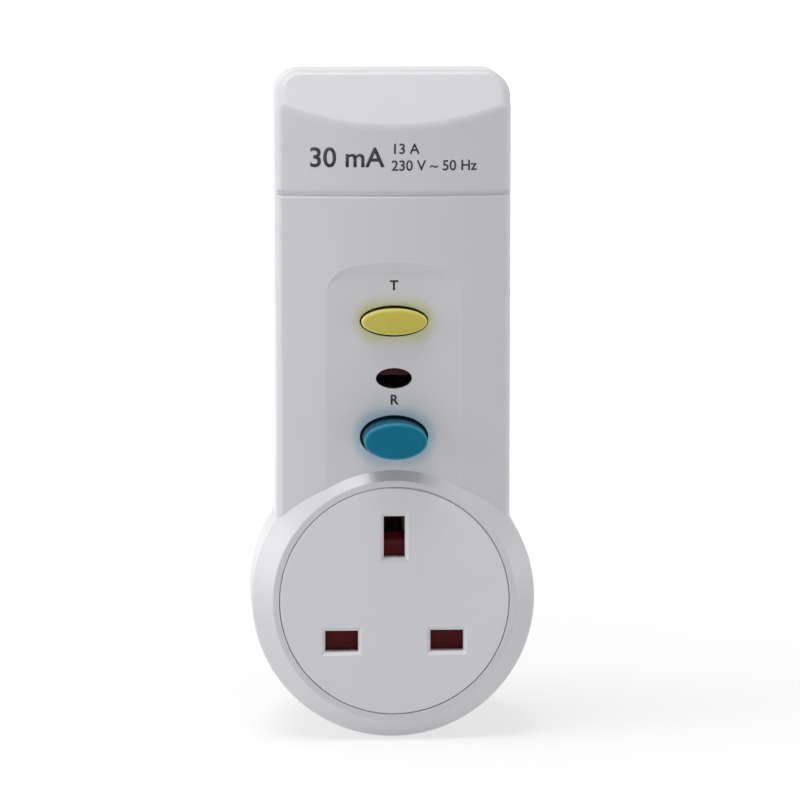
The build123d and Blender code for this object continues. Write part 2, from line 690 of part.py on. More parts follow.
# Mechanism frame: an open cage behind the reset button
frame_plate = 1.8
frame_wall = 1.6
frame_floor = 1.6
frame_bridge_half = 9.0  # walls reach the front plate only this far out
strip_metal = 1.0
strip_width, strip_side = 4.0, 2.9  # contact strips, and their distance from the frame's sides
leg_width, leg_height, leg_inset = 4.4, 4.0, 2.0
stem_radius, stem_neck_radius = 2.5, 1.6
stem_neck_depth = 3.0  # behind the front of the frame
stem_neck_length = 10.5
stem_head_length = 1.2
tab_x = (8.2, 9.7)
tab_slot = 0.4
carriage_travel = 2.0
plate_rod_radius = 1.2
latch_depth = 9.5  # behind the front of the frame
strip_x = (frame_half - strip_side - strip_width, frame_half - strip_side)
stem_bore_radius = stem_radius + loose_gap
stem_neck_front = frame_front + stem_neck_depth
stem_neck_back = stem_neck_front + stem_neck_length
latch_y = frame_front + latch_depth
solenoid_y = latch_y - carriage_travel / 2  # over the latch plate, tripped or set

frame_inside = frame_front + frame_plate
with BuildPart() as mechanism_frame:
    brick((-frame_half, frame_half), (frame_front, frame_inside), frame_z)
    for low in (frame_z[0], frame_z[1] - frame_wall):
        brick((-frame_half, frame_half),
              (frame_inside + strip_metal + running_gap, frame_floor_front + frame_floor),
              (low, low + frame_wall))
        brick((-frame_bridge_half, frame_bridge_half), (frame_inside, frame_floor_front),
              (low, low + frame_wall))
    for side in (1, -1):
        brick((side * (frame_half - frame_wall), side * frame_half),
              (frame_inside, frame_floor_front), frame_z)
        for low in (frame_z[0] + leg_inset, frame_z[1] - leg_inset - leg_height):
            brick((side * (frame_half - leg_width), side * frame_half),
                  (frame_floor_front, y_floor), (low, low + leg_height))
    brick((-frame_half, frame_half), (frame_floor_front, frame_floor_front + frame_floor), frame_z)
    rod(0, reset_height, y_floor, frame_front - overrun, stem_bore_radius, Mode.SUBTRACT)
    # Slots in the upper wall for the carriage tab and the plunger rod
    brick((tab_x[0] - tab_slot, tab_x[1] + tab_slot),
          (latch_y - carriage_travel * 2, frame_floor_front),
          (frame_z[1] - frame_wall * 2, frame_z[1] + overrun), Mode.SUBTRACT)
    upright(0, solenoid_y, frame_z[1] - frame_wall * 2, frame_z[1] + overrun,
            plate_rod_radius + loose_gap, Mode.SUBTRACT)
save(mechanism_frame, "mechanism_frame")

# Contact carriage: slides on Y, carries the two contact bridges
carriage_depth, carriage_thickness = 7.5, 4.0  # behind the front of the frame
carriage_half_x = 7.0
carriage_below_reset, carriage_above_reset = 8.2, 5.0
carriage_arm_side = 2.5  # from the ends of the arms to the frame's sides
carriage_arm_below, carriage_arm_above = 3.8, 3.2  # the reset button's axis
latch_thickness = 1.0
latch_half, latch_below_reset, latch_above_reset = 4.0, 2.8, 6.8
latch_travel = 1.6
latch_spring_length = 3.6
latch_slot_half = 4.3
carriage_spring_x, carriage_spring_radius = 5.6, 1.0
tab_above_window = 5.0
peg_above_window, peg_radius = 3.5, 0.8
peg_reach = 1.9
tab_depth, tab_thickness = 8.1, 3.0  # behind the front of the frame
bridge_side, bridge_half = 4.9, 1.9
bridge_below_reset, bridge_above_reset = 6.8, 6.2
bridge_metal = 0.8
rivet_radius, rivet_height = 1.5, 0.8
rivet_end = 1.6  # from the ends of the bridge
lead_side = 1.4  # from the supply leads to the frame's sides
lead_radius = 1.2
supply_above_frame, load_below_frame = 2.4, 2.0
carriage_front = frame_front + carriage_depth
carriage_back = carriage_front + carriage_thickness
carriage_z = (reset_height - carriage_below_reset, reset_height + carriage_above_reset)
carriage_arm_half = frame_half - carriage_arm_side
carriage_arm_z = (reset_height - carriage_arm_below, reset_height + carriage_arm_above)
latch_z = (reset_height - latch_below_reset, reset_height + latch_above_reset)
latch_spring_z = latch_z[0] - latch_spring_length
tab_top = window_height + tab_above_window
tab_y = (frame_front + tab_depth, frame_front + tab_depth + tab_thickness)
peg_y, peg_z = (tab_y[0] + tab_y[1]) / 2, window_height + peg_above_window
bridge_x = frame_half - bridge_side
bridge_z = (reset_height - bridge_below_reset, reset_height + bridge_above_reset)
rivet_z = (bridge_z[0] + rivet_end, bridge_z[1] - rivet_end)
lead_x = frame_half - lead_side
supply_top = frame_z[1] + supply_above_frame
load_bottom = frame_z[0] - load_below_frame
strip_back = frame_inside + strip_metal

with BuildPart() as contact_carriage:
    brick((-carriage_half_x, carriage_half_x), (carriage_front, carriage_back), carriage_z)
    brick((-carriage_arm_half, carriage_arm_half), (carriage_front, carriage_back),
          carriage_arm_z)
    rod(0, reset_height, carriage_back + overrun, carriage_front - overrun, stem_bore_radius,
        Mode.SUBTRACT)
    brick((-latch_slot_half, latch_slot_half),
          (latch_y - latch_thickness / 2 - running_gap, latch_y + latch_thickness / 2
           + running_gap), (latch_spring_z, carriage_z[1] + overrun), Mode.SUBTRACT)
    brick(tab_x, tab_y, (carriage_arm_z[1], tab_top))
    brick((carriage_half_x, tab_x[1]), tab_y, (carriage_arm_z[1] - frame_wall,
                                               carriage_z[1] - frame_wall / 2))
    with BuildSketch(Plane.YZ.offset(tab_x[1])):
        with Locations((peg_y, peg_z)):
            Circle(peg_radius)
    extrude(amount=peg_reach)
save(contact_carriage, "contact_carriage")

for side, pole in ((1, "live"), (-1, "neutral")):
    with BuildPart() as bridge:
        x = side * bridge_x
        brick((x - bridge_half, x + bridge_half), (carriage_front - bridge_metal, carriage_front),
              bridge_z)
        for z in rivet_z:
            rod(x, z, carriage_front - bridge_metal, carriage_front - bridge_metal - rivet_height,
                rivet_radius)
    save(bridge, f"{pole}_bridge")
    # Fixed contacts under the front plate: supply above, load below
    with BuildPart() as supply:
        brick((side * strip_x[0], side * strip_x[1]), (frame_inside, strip_back),
              (rivet_z[1] - rivet_radius, supply_top))
        brick((side * strip_x[0], side * (lead_x + lead_radius)), (frame_inside, strip_back),
              (frame_z[1] + running_gap, supply_top))
        rod(side * bridge_x, rivet_z[1], strip_back + rivet_height, strip_back, rivet_radius)
    save(supply, f"{pole}_supply_contact")
    with BuildPart() as load:
        brick((side * strip_x[0], side * strip_x[1]), (frame_inside, strip_back),
              (load_bottom, rivet_z[0] + rivet_radius))
        brick((side * strip_x[0], side * strip_x[1]), (frame_inside, carrier_back + strip_metal),
              (load_bottom, load_bottom + strip_metal))
        rod(side * bridge_x, rivet_z[0], strip_back + rivet_height, strip_back, rivet_radius)
    save(load, f"{pole}_load_contact")
    with BuildPart() as bar:
        brick((side * strip_x[0], side * strip_x[1]), (carrier_back, carrier_back + strip_metal),
              (line_z - line_pocket[1], load_bottom))
        brick((side * (live_x - link_half * 2), side * strip_x[1]),
              (carrier_back, carrier_back + strip_metal),
              (line_z - line_pocket[1], line_z + line_pocket[1]))
    save(bar, f"{pole}_load_bar")

# Latch plate: a keyhole plate that holds the stem until the solenoid pushes it
keyhole_slot_half = stem_neck_radius + running_gap
with BuildPart() as latch_plate:
    brick((-latch_half, latch_half), (latch_y - latch_thickness / 2, latch_y
                                      + latch_thickness / 2), latch_z)
    rod(0, reset_height + latch_travel, latch_y + latch_thickness, latch_y - latch_thickness,
        stem_radius + running_gap, Mode.SUBTRACT)
    brick((-keyhole_slot_half, keyhole_slot_half),
          (latch_y - latch_thickness, latch_y + latch_thickness),
          (reset_height - keyhole_slot_half, reset_height + latch_travel), Mode.SUBTRACT)
save(latch_plate, "latch_plate")

with BuildPart() as latch_spring:
    upright(0, latch_y, latch_spring_z, latch_z[0], latch_thickness / 2)
save(latch_spring, "latch_spring")

# Carriage springs push the carriage back off the fixed contacts
with BuildPart() as carriage_springs:
    for x in (carriage_spring_x, -carriage_spring_x):
        hollow_coil(carriage_front, frame_inside, x, reset_height, carriage_spring_radius,
                    spring_wire)
save(carriage_springs, "carriage_springs")

# Reset button: cap, flange, stem with a neck and a head for the latch
flange_front = y_panel_inside + running_gap
flange_back = flange_front + button_flange_thickness
with BuildPart() as reset_button:
    oval(reset_height, reset_width, reset_rise, flange_front, y_panel - reset_protrusion)
    fillet(reset_button.edges().group_by(Axis.Y)[0], reset_edge_radius)
    oval(reset_height, reset_hole_width + button_flange_margin * 2,
         reset_hole_height + button_flange_margin * 2, flange_back, flange_front)
    rod(0, reset_height, stem_neck_front, flange_back, stem_radius)
    rod(0, reset_height, stem_neck_back, stem_neck_front, stem_neck_radius)
    rod(0, reset_height, stem_neck_back + stem_head_length, stem_neck_back, stem_radius)
save(reset_button, "reset_button")

reset_spring_radius, reset_spring_wire = 3.8, 0.6
with BuildPart() as reset_spring:
    hollow_coil(frame_front, flange_back, 0, reset_height, reset_spring_radius,
                reset_spring_wire)
save(reset_spring, "reset_spring")

# Test button and its two contact strips
test_stem_radius, test_stem_clear = 2.0, 1.3  # ends this far before the frame's front
leaf_metal = 0.3
test_stem_tip = frame_front - test_stem_clear
leaf_front = test_stem_tip + loose_gap / 2
leaf_width = 3.0
leaf_reach = 3.0  # past the centre line
leaf_foot_x = 13.0
terminal_metal = 0.5
terminal_front = test_stem_tip + test_travel + leaf_metal
with BuildPart() as test_button:
    oval(test_height, test_width, test_rise, flange_front, y_panel - test_protrusion)
    fillet(test_button.edges().group_by(Axis.Y)[0], test_edge_radius)
    oval(test_height, test_hole_width + button_flange_margin * 2,
         test_hole_height + button_flange_margin, flange_back, flange_front)
    rod(0, test_height, test_stem_tip, flange_back, test_stem_radius)
save(test_button, "test_button")

with BuildPart() as test_leaf:
    leaf_z = (test_height - leaf_width / 2, test_height + leaf_width / 2)
    brick((-leaf_reach, leaf_foot_x), (leaf_front, leaf_front + leaf_metal), leaf_z)
    brick((leaf_foot_x - leaf_metal, leaf_foot_x), (leaf_front, board_front), leaf_z)
save(test_leaf, "test_leaf")

with BuildPart() as test_terminal:
    brick((-leaf_foot_x, leaf_reach), (terminal_front, terminal_front + terminal_metal), leaf_z)
    brick((-leaf_foot_x, -leaf_foot_x + terminal_metal), (terminal_front, board_front), leaf_z)
save(test_terminal, "test_terminal")

# Flag: a red slide behind the window, driven by the carriage peg in a slanted slot
flag_clearance, flag_metal = 0.5, 1.0
flag_low, flag_high = 0.4, 7.0  # above the middle of the window
flag_travel = 3.6
flag_arm_low, flag_arm_high = 1.2, 9.0
flag_arm_behind_peg = 2.2
flag_front = y_panel_inside + flag_clearance
flag_z = (window_height + flag_low, window_height + flag_high)
flag_arm_z = (window_height + flag_arm_low, window_height + flag_arm_high)
with BuildPart() as flag_indicator:
    brick((-flag_half, flag_half), (flag_front, flag_front + flag_metal), flag_z)
    brick((flag_half, flag_arm_x[1]), (flag_front, flag_front + flag_metal),
          (flag_arm_z[0], flag_z[1]))
    brick(flag_arm_x, (flag_front, peg_y + flag_arm_behind_peg), flag_arm_z)
    slot_length = sqrt(carriage_travel**2 + flag_travel**2)
    with BuildSketch(Plane.YZ.offset(flag_arm_x[0] - overrun)):
        with Locations(Location((peg_y - carriage_travel / 2, peg_z + flag_travel / 2),
                                degrees(atan2(flag_travel, -carriage_travel)))):
            SlotCenterToCenter(slot_length, (peg_radius + running_gap) * 2)
    extrude(amount=overrun * 2, mode=Mode.SUBTRACT)
save(flag_indicator, "flag_indicator")

# Solenoid: steel frame, bobbin, coil, plunger and its return spring
yoke_half, yoke_metal = 6.5, 1.2
yoke_above_frame, yoke_length = 3.0, 20.2
yoke_reach = 6.1  # before the solenoid's axis
bobbin_flange, bobbin_tube, bobbin_bore = 4.8, 3.1, 2.5
bobbin_cheek = 1.0
coil_radius = 4.6
plunger_radius, plunger_above_yoke = 2.3, 2.6
plunger_start = 5.4  # the thick part starts this far above the foot of the yoke
plunger_head_radius, plunger_head = 3.2, 1.0
plunger_tip = latch_z[1] + running_gap
yoke_z = (frame_z[1] + yoke_above_frame, frame_z[1] + yoke_above_frame + yoke_length)
yoke_front = solenoid_y - yoke_reach
plunger_z = (yoke_z[0] + plunger_start, yoke_z[1] + plunger_above_yoke)
with BuildPart() as solenoid_frame:
    brick((-yoke_half, yoke_half), (board_front - yoke_metal, board_front), yoke_z)
    for low in (yoke_z[0], yoke_z[1] - yoke_metal):
        brick((-yoke_half, yoke_half), (yoke_front, board_front), (low, low + yoke_metal))
    upright(0, solenoid_y, yoke_z[0] - overrun, yoke_z[0] + overrun,
            plate_rod_radius + loose_gap, Mode.SUBTRACT)
    upright(0, solenoid_y, yoke_z[1] - overrun, yoke_z[1] + overrun, bobbin_bore, Mode.SUBTRACT)
save(solenoid_frame, "solenoid_frame")

bobbin_z = (yoke_z[0] + yoke_metal, yoke_z[1] - yoke_metal)
with BuildPart() as solenoid_bobbin:
    upright(0, solenoid_y, *bobbin_z, bobbin_tube)
    upright(0, solenoid_y, bobbin_z[0], bobbin_z[0] + bobbin_cheek, bobbin_flange)
    upright(0, solenoid_y, bobbin_z[1] - bobbin_cheek, bobbin_z[1], bobbin_flange)
    upright(0, solenoid_y, *bobbin_z, bobbin_bore, Mode.SUBTRACT)
save(solenoid_bobbin, "solenoid_bobbin")

coil_z = (bobbin_z[0] + bobbin_cheek, bobbin_z[1] - bobbin_cheek)
with BuildPart() as solenoid_coil:
    upright(0, solenoid_y, *coil_z, coil_radius)
    upright(0, solenoid_y, *coil_z, bobbin_tube, Mode.SUBTRACT)
save(solenoid_coil, "solenoid_coil")

with BuildPart() as solenoid_plunger:
    upright(0, solenoid_y, plunger_tip, plunger_z[0], plate_rod_radius)
    upright(0, solenoid_y, *plunger_z, plunger_radius)
    upright(0, solenoid_y, plunger_z[1], plunger_z[1] + plunger_head, plunger_head_radius)
save(solenoid_plunger, "solenoid_plunger")

with BuildPart() as plunger_spring:
    upright(0, solenoid_y, yoke_z[1], plunger_z[1], plunger_head_radius)
    upright(0, solenoid_y, yoke_z[1], plunger_z[1], plunger_head_radius - spring_wire,
            Mode.SUBTRACT)
save(plunger_spring, "plunger_spring")

# Circuit board
core_below_board_top = 17.5
core_z = board_z[1] - core_below_board_top
board_hole_radius = 5.0
with BuildPart() as circuit_board:
    brick((-board_half, board_half), (board_front, board_y), board_z)
    rod(0, core_z, board_y + overrun, board_front - overrun, board_hole_radius, Mode.SUBTRACT)
    for z in board_post_z:
        for x in (board_post_x, -board_post_x):
            rod(x, z, board_y + overrun, board_front - overrun,
                board_screw_radius + screw_gap * 2, Mode.SUBTRACT)
save(circuit_board, "circuit_board")

board_screw_head, board_screw_depth = 1.9, 1.3
board_screw_bite = 4.5
with BuildPart() as board_screws:
    for z in board_post_z:
        for x in (board_post_x, -board_post_x):
            rod(x, z, board_front, board_front - board_screw_depth, board_screw_head)
            rod(x, z, board_y + board_screw_bite, board_front, board_screw_radius)
save(board_screws, "board_screws")

# Current transformer: ring core with its winding, round the two supply leads
core_inner, core_outer, core_length = 5.0, 8.0, 6.0
winding_thickness = 1.0
with BuildPart() as transformer_winding:
    rod(0, core_z, board_front, board_front - core_length - winding_thickness * 2,
        core_outer + winding_thickness)
    rod(0, core_z, board_front + overrun, board_front - core_length - winding_thickness * 2
        - overrun, core_inner - winding_thickness, Mode.SUBTRACT)
    with BuildSketch(facing(board_front - winding_thickness)) as ring:
        with Locations((0, core_z)):
            Circle(core_outer)
            Circle(core_inner, mode=Mode.SUBTRACT)
    extrude(amount=core_length, mode=Mode.SUBTRACT)
save(transformer_winding, "transformer_winding")

with BuildPart() as transformer_core:
    with BuildSketch(facing(board_front - winding_thickness)):
        with Locations((0, core_z)):
            Circle(core_outer)
            Circle(core_inner, mode=Mode.SUBTRACT)
    extrude(amount=core_length)
save(transformer_core, "transformer_core")

# Parts on the board: round the transformer, and beside the solenoid
component_gap = 0.3
capacitor_above_core, capacitor_radius, capacitor_height = 7.0, 3.8, 11.0
capacitor_edge_radius = 0.7
varistor_above_core, varistor_radius, varistor_thickness = 7.0, 4.2, 3.0
film_width, film_rise, film_height = 7.6, 8.0, 9.0
film_below_core = 3.5
film_edge_radius = 0.7
chip_side, chip_width, chip_rise, chip_height = 2.5, 6.4, 9.6, 3.4
chip_above_test = 2.7
thyristor_below_core, thyristor_radius, thyristor_height = 6.0, 2.4, 4.8
diode_radius, diode_length = 1.2, 4.6
diode_side, diode_pitch, diode_count = 1.5, 2.9, 4
diode_above_test = 9.7
resistor_radius, resistor_length = 1.1, 3.4
resistor_side, resistor_pitch = 2.9, 3.6
resistor_above_test, resistor_below_test = 5.5, 2.7
test_resistor_side, test_resistor_below_test = 3.1, 2.1
test_resistor_radius, test_resistor_length = 1.6, 8.0
beside_core = core_outer + winding_thickness + component_gap
capacitor_x, capacitor_z = beside_core + capacitor_radius, core_z + capacitor_above_core
varistor_x, varistor_z = -beside_core - varistor_radius, core_z + varistor_above_core
film_x = (-beside_core - film_width, -beside_core)
film_z = (core_z - film_below_core - film_rise, core_z - film_below_core)
chip_x = (board_half - chip_side - chip_width, board_half - chip_side)
chip_z = (test_height + chip_above_test, test_height + chip_above_test + chip_rise)
thyristor_x, thyristor_z = beside_core + thyristor_radius, core_z - thyristor_below_core
diode_places = [(-board_half + diode_side + diode_pitch * i, test_height + diode_above_test)
                for i in range(diode_count)]
resistor_places = [
    (-board_half + resistor_side, test_height - resistor_below_test),
    (-board_half + resistor_side, test_height + resistor_above_test),
    (-board_half + resistor_side + resistor_pitch, test_height + resistor_above_test),
    (-board_half + resistor_side + resistor_pitch * 2, test_height + resistor_above_test),
]
test_resistor_x = board_half - test_resistor_side
test_resistor_z = test_height - test_resistor_below_test

with BuildPart() as storage_capacitor:
    rod(capacitor_x, capacitor_z, board_front, board_front - capacitor_height, capacitor_radius)
    fillet(storage_capacitor.edges().group_by(Axis.Y)[0], capacitor_edge_radius)
save(storage_capacitor, "storage_capacitor")

with BuildPart() as varistor:
    upright(varistor_x, board_front - varistor_radius, varistor_z - varistor_thickness / 2,
            varistor_z + varistor_thickness / 2, varistor_radius)
save(varistor, "varistor")

with BuildPart() as film_capacitor:
    brick(film_x, (board_front - film_height, board_front), film_z)
    fillet(film_capacitor.edges().filter_by(Axis.Y), film_edge_radius)
save(film_capacitor, "film_capacitor")

with BuildPart() as control_chip:
    brick(chip_x, (board_front - chip_height, board_front), chip_z)
save(control_chip, "control_chip")

with BuildPart() as thyristor:
    rod(thyristor_x, thyristor_z, board_front, board_front - thyristor_height, thyristor_radius)
    brick((thyristor_x - thyristor_radius, thyristor_x + thyristor_radius),
          (board_front - thyristor_height - overrun, board_front + overrun),
          (thyristor_z - thyristor_radius * 2, thyristor_z - thyristor_radius / 2),
          Mode.SUBTRACT)
save(thyristor, "thyristor")

with BuildPart() as diodes:
    for x, z in diode_places:
        upright(x, board_front - diode_radius, z - diode_length / 2, z + diode_length / 2,
                diode_radius)
save(diodes, "rectifier_diodes")

with BuildPart() as resistors:
    for x, z in resistor_places:
        upright(x, board_front - resistor_radius, z - resistor_length / 2,
                z + resistor_length / 2, resistor_radius)
save(resistors, "resistors")

with BuildPart() as test_resistor:
    upright(test_resistor_x, board_front - test_resistor_radius,
            test_resistor_z - test_resistor_length / 2,
            test_resistor_z + test_resistor_length / 2, test_resistor_radius)
save(test_resistor, "test_resistor")

# Supply leads: from the plug pins, through the transformer, to the fixed contacts
lead_bend_share = 0.45  # of the shorter run beside a bend
lead_rise_x, lead_core_x = 5.6, 1.7
lead_behind_board, lead_before_board = 5.0, 14.5
lead_start_length, lead_turn_in = 6.5, 1.1
lead_turn_depth, lead_turn_z = 5.0, 6.0
lead_above_frame_foot = 2.0
lead_below_core, lead_above_supply = 12.0, 14.0
y_rise = board_y + lead_behind_board
y_fall = board_front - lead_before_board
y_strip = frame_inside + strip_metal / 2
lead_route = [  # live side; the neutral lead is its mirror image
    (live_x, -tail_reach, line_z),
    (live_x, -tail_reach - lead_start_length, line_z),
    (live_x - lead_turn_in, -tail_reach - lead_turn_depth, lead_turn_z),
    (lead_rise_x, y_rise, frame_z[0] + lead_above_frame_foot),
    (lead_rise_x, y_rise, core_z - lead_below_core),
    (lead_core_x, y_rise, core_z),
    (lead_core_x, y_fall, core_z),
    (lead_x, y_fall, core_z - lead_below_core),
    (lead_x, y_strip, supply_top + lead_above_supply),
    (lead_x, y_strip, supply_top),
]
for side, pole in ((1, "live"), (-1, "neutral")):
    route = [Vector(side * x, y, z) for x, y, z in lead_route]
    radii = []
    for before, here, after in zip(route, route[1:], route[2:]):
        shorter = min((here - before).length, (after - here).length)
        turn = radians((here - before).get_angle(after - here))
        radii.append(lead_bend_share * shorter / tan(turn / 2))
    with BuildPart() as lead:
        with BuildLine() as path:
            FilletPolyline(*route, radius=radii)
        with BuildSketch(Plane(origin=route[0], z_dir=route[1] - route[0])):
            Circle(lead_radius)
        sweep(path=path.wires()[0])
    length = sum(edge.length for edge in path.edges())
    print(pole, "lead: bend radii", [round(radius, 1) for radius in radii], "length",
          round(length, 1), "volume over section times length",
          round(lead.part.volume / (pi * lead_radius**2 * length), 4))
    save(lead, f"{pole}_lead")
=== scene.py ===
import math

import bpy
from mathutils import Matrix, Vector


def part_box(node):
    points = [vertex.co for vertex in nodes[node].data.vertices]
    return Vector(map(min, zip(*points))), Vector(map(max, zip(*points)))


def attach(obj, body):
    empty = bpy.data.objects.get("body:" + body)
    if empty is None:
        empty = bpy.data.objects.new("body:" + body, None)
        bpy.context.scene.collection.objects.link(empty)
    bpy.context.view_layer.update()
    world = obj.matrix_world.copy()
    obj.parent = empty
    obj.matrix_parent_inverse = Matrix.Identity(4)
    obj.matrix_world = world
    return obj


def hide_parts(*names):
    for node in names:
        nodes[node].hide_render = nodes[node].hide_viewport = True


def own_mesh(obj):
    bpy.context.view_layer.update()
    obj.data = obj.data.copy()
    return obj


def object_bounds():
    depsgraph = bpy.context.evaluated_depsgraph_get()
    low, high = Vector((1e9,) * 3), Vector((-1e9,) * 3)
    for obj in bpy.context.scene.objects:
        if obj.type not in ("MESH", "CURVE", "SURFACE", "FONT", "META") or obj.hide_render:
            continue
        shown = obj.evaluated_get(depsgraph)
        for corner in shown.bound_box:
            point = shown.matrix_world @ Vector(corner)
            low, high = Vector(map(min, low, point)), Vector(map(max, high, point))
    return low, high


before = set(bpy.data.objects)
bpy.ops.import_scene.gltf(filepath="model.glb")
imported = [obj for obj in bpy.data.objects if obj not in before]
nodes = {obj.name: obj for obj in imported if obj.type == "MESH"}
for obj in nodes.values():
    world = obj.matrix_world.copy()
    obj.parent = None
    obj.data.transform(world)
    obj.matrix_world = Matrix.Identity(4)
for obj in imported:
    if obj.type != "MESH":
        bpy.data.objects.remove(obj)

cad_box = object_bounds()
mm = 0.001  # the scene is in metres

x_axis, y_axis, z_axis = range(3)
low_end, high_end = range(2)

# Camera: stands a little to the left of the adapter and looks slightly down on it
aim = Vector((1.15, -42.0, 42.7)) * mm
camera_distance = 900 * mm
camera_turn = math.radians(-3.2)
camera_rise = math.radians(7.6)
camera_lens, camera_sensor = 193.6, 36  # both are given in millimetres
camera_clip_start = 10 * mm


def clear_selection():
    """Operators act on all that is selected, so nothing is left selected."""
    bpy.ops.object.select_all(action="DESELECT")


def take(piece):
    """Select one piece alone, as the one that the operators work on."""
    clear_selection()
    piece.select_set(True)
    bpy.context.view_layer.objects.active = piece


def linear(colour):
    """An sRGB hex colour as the linear values that a shader takes."""
    parts = [int(colour[i:i + 2], 16) / 255 for i in (0, 2, 4)]
    return [p / 12.92 if p <= 0.04045 else ((p + 0.055) / 1.055) ** 2.4 for p in parts] + [1.0]


def per_size(size):
    """The texture scale at which one feature of a pattern is this big, in metres."""
    return 1 / size


def add(tree, kind, inputs, **settings):
    """Add a shader node with its own settings; inputs are values or links for its sockets."""
    made = tree.nodes.new(kind)
    for name, value in settings.items():
        setattr(made, name, value)
    for socket, value in inputs.items():
        if isinstance(value, bpy.types.NodeSocket):
            tree.links.new(value, made.inputs[socket])
        else:
            made.inputs[socket].default_value = value
    return made


def new_material(name, sockets):
    """A material with one Principled shader, and the object coordinates its patterns read."""
    material = bpy.data.materials.new(name)
    material.use_nodes = True
    tree = material.node_tree
    shader = tree.nodes["Principled BSDF"]
    for socket, value in sockets.items():
        shader.inputs[socket].default_value = value
    place = add(tree, "ShaderNodeTexCoord", {}).outputs["Object"]
    return material, tree, shader, place


# Octaves of the noise under each pattern; more would be too fine to show
grain_detail, mottle_detail, gloss_detail = 2.0, 3.0, 4.0


def grain(tree, shader, place, size, depth):
    """Fine relief in the surface: features this big and this deep."""
    noise = add(tree, "ShaderNodeTexNoise",
                {"Vector": place, "Scale": per_size(size), "Detail": grain_detail})
    bump = add(tree, "ShaderNodeBump", {"Height": noise.outputs["Fac"], "Distance": depth})
    tree.links.new(bump.outputs["Normal"], shader.inputs["Normal"])


def mottle(tree, shader, place, light, dark, size):
    """Cloudy change between two colours, with patches this big; gives the colour's link."""
    noise = add(tree, "ShaderNodeTexNoise",
                {"Vector": place, "Scale": per_size(size), "Detail": mottle_detail})
    mix = add(tree, "ShaderNodeMix", {0: noise.outputs["Fac"], 6: linear(light),
                                      7: linear(dark)}, data_type="RGBA")
    tree.links.new(mix.outputs[2], shader.inputs["Base Color"])
    return mix.outputs[2]


def uneven_gloss(tree, shader, place, low, high, size):
    """Roughness that wanders between two values, as handled or moulded surfaces have."""
    noise = add(tree, "ShaderNodeTexNoise",
                {"Vector": place, "Scale": per_size(size), "Detail": gloss_detail})
    spread = add(tree, "ShaderNodeMapRange",
                 {"Value": noise.outputs["Fac"], "To Min": low, "To Max": high})
    tree.links.new(spread.outputs["Result"], shader.inputs["Roughness"])


# Materials of the outside

# Painted reflection of each button on the shell round its hole, colour painted on for the light
# that the button throws there:
# the height of the hole's middle, half the hole's width and height, and the colour
painted_button_reflections = [
    (59.1 * mm, 7.2 * mm, 3.3 * mm, "c3c668"),
    (34.65 * mm, 7.2 * mm, 4.6 * mm, "76afc9"),
]
painted_reflection_share = 0.5  # how strong the colour is at the hole's edge
painted_reflection_reach = 2.6 * mm  # how far from the hole it fades out

# How far behind a button's face the painted highlight on its rim sets in and is full, then the
# painted shade down its sides
highlight_start, highlight_full = 0.05 * mm, 0.45 * mm
side_shade_start, side_shade_full = 0.6 * mm, 1.4 * mm


def white_abs(name, light, dark, painted_reflections=()):
    """White ABS from a finely spark-eroded tool: an even satin sheen over a very fine grain.

    Round each hole in painted_reflections the colour of the button that stands there is painted
    on the shell, as a painted reflection of the button's light.
    """
    material, tree, shader, place = new_material(name, {
        "IOR": 1.53, "Subsurface Weight": 0.08, "Subsurface Scale": 0.8 * mm,
        "Subsurface Radius": (1.0, 0.9, 0.8)})
    # the grain is drawn at 0.35 mm, coarser than the real 0.05 mm, to show at all
    grain(tree, shader, place, size=0.35 * mm, depth=0.006 * mm)
    uneven_gloss(tree, shader, place, low=0.30, high=0.38, size=6 * mm)
    colour = mottle(tree, shader, place, light, dark, size=9 * mm)
    for height, half_width, half_height, reflection_colour in painted_reflections:
        # how far a point is from the hole's long axis, in front view
        away = add(tree, "ShaderNodeMapping", {"Vector": place, "Location": (0, 0, -height),
                                               "Scale": (1, 0, 1)})
        for operation, value in (("ABSOLUTE", (0, 0, 0)),
                                 ("SUBTRACT", (half_width - half_height, 0, 0)),
                                 ("MAXIMUM", (0, 0, 0)), ("LENGTH", (0, 0, 0))):
            away = add(tree, "ShaderNodeVectorMath", {0: away.outputs[0], 1: value},
                       operation=operation)
        share = add(tree, "ShaderNodeMapRange",
                    {"Value": away.outputs["Value"], "From Min": half_height,
                     "From Max": half_height + painted_reflection_reach, "To Min": painted_reflection_share, "To Max": 0.0},
                    interpolation_type="SMOOTHSTEP")
        # paint the button's reflected colour over the shell's own colour, fading away from the
        # hole
        blend = add(tree, "ShaderNodeMix", {0: share.outputs["Result"], 6: colour,
                                            7: linear(reflection_colour)}, data_type="RGBA")
        colour = blend.outputs[2]
    tree.links.new(colour, shader.inputs["Base Color"])
    return material


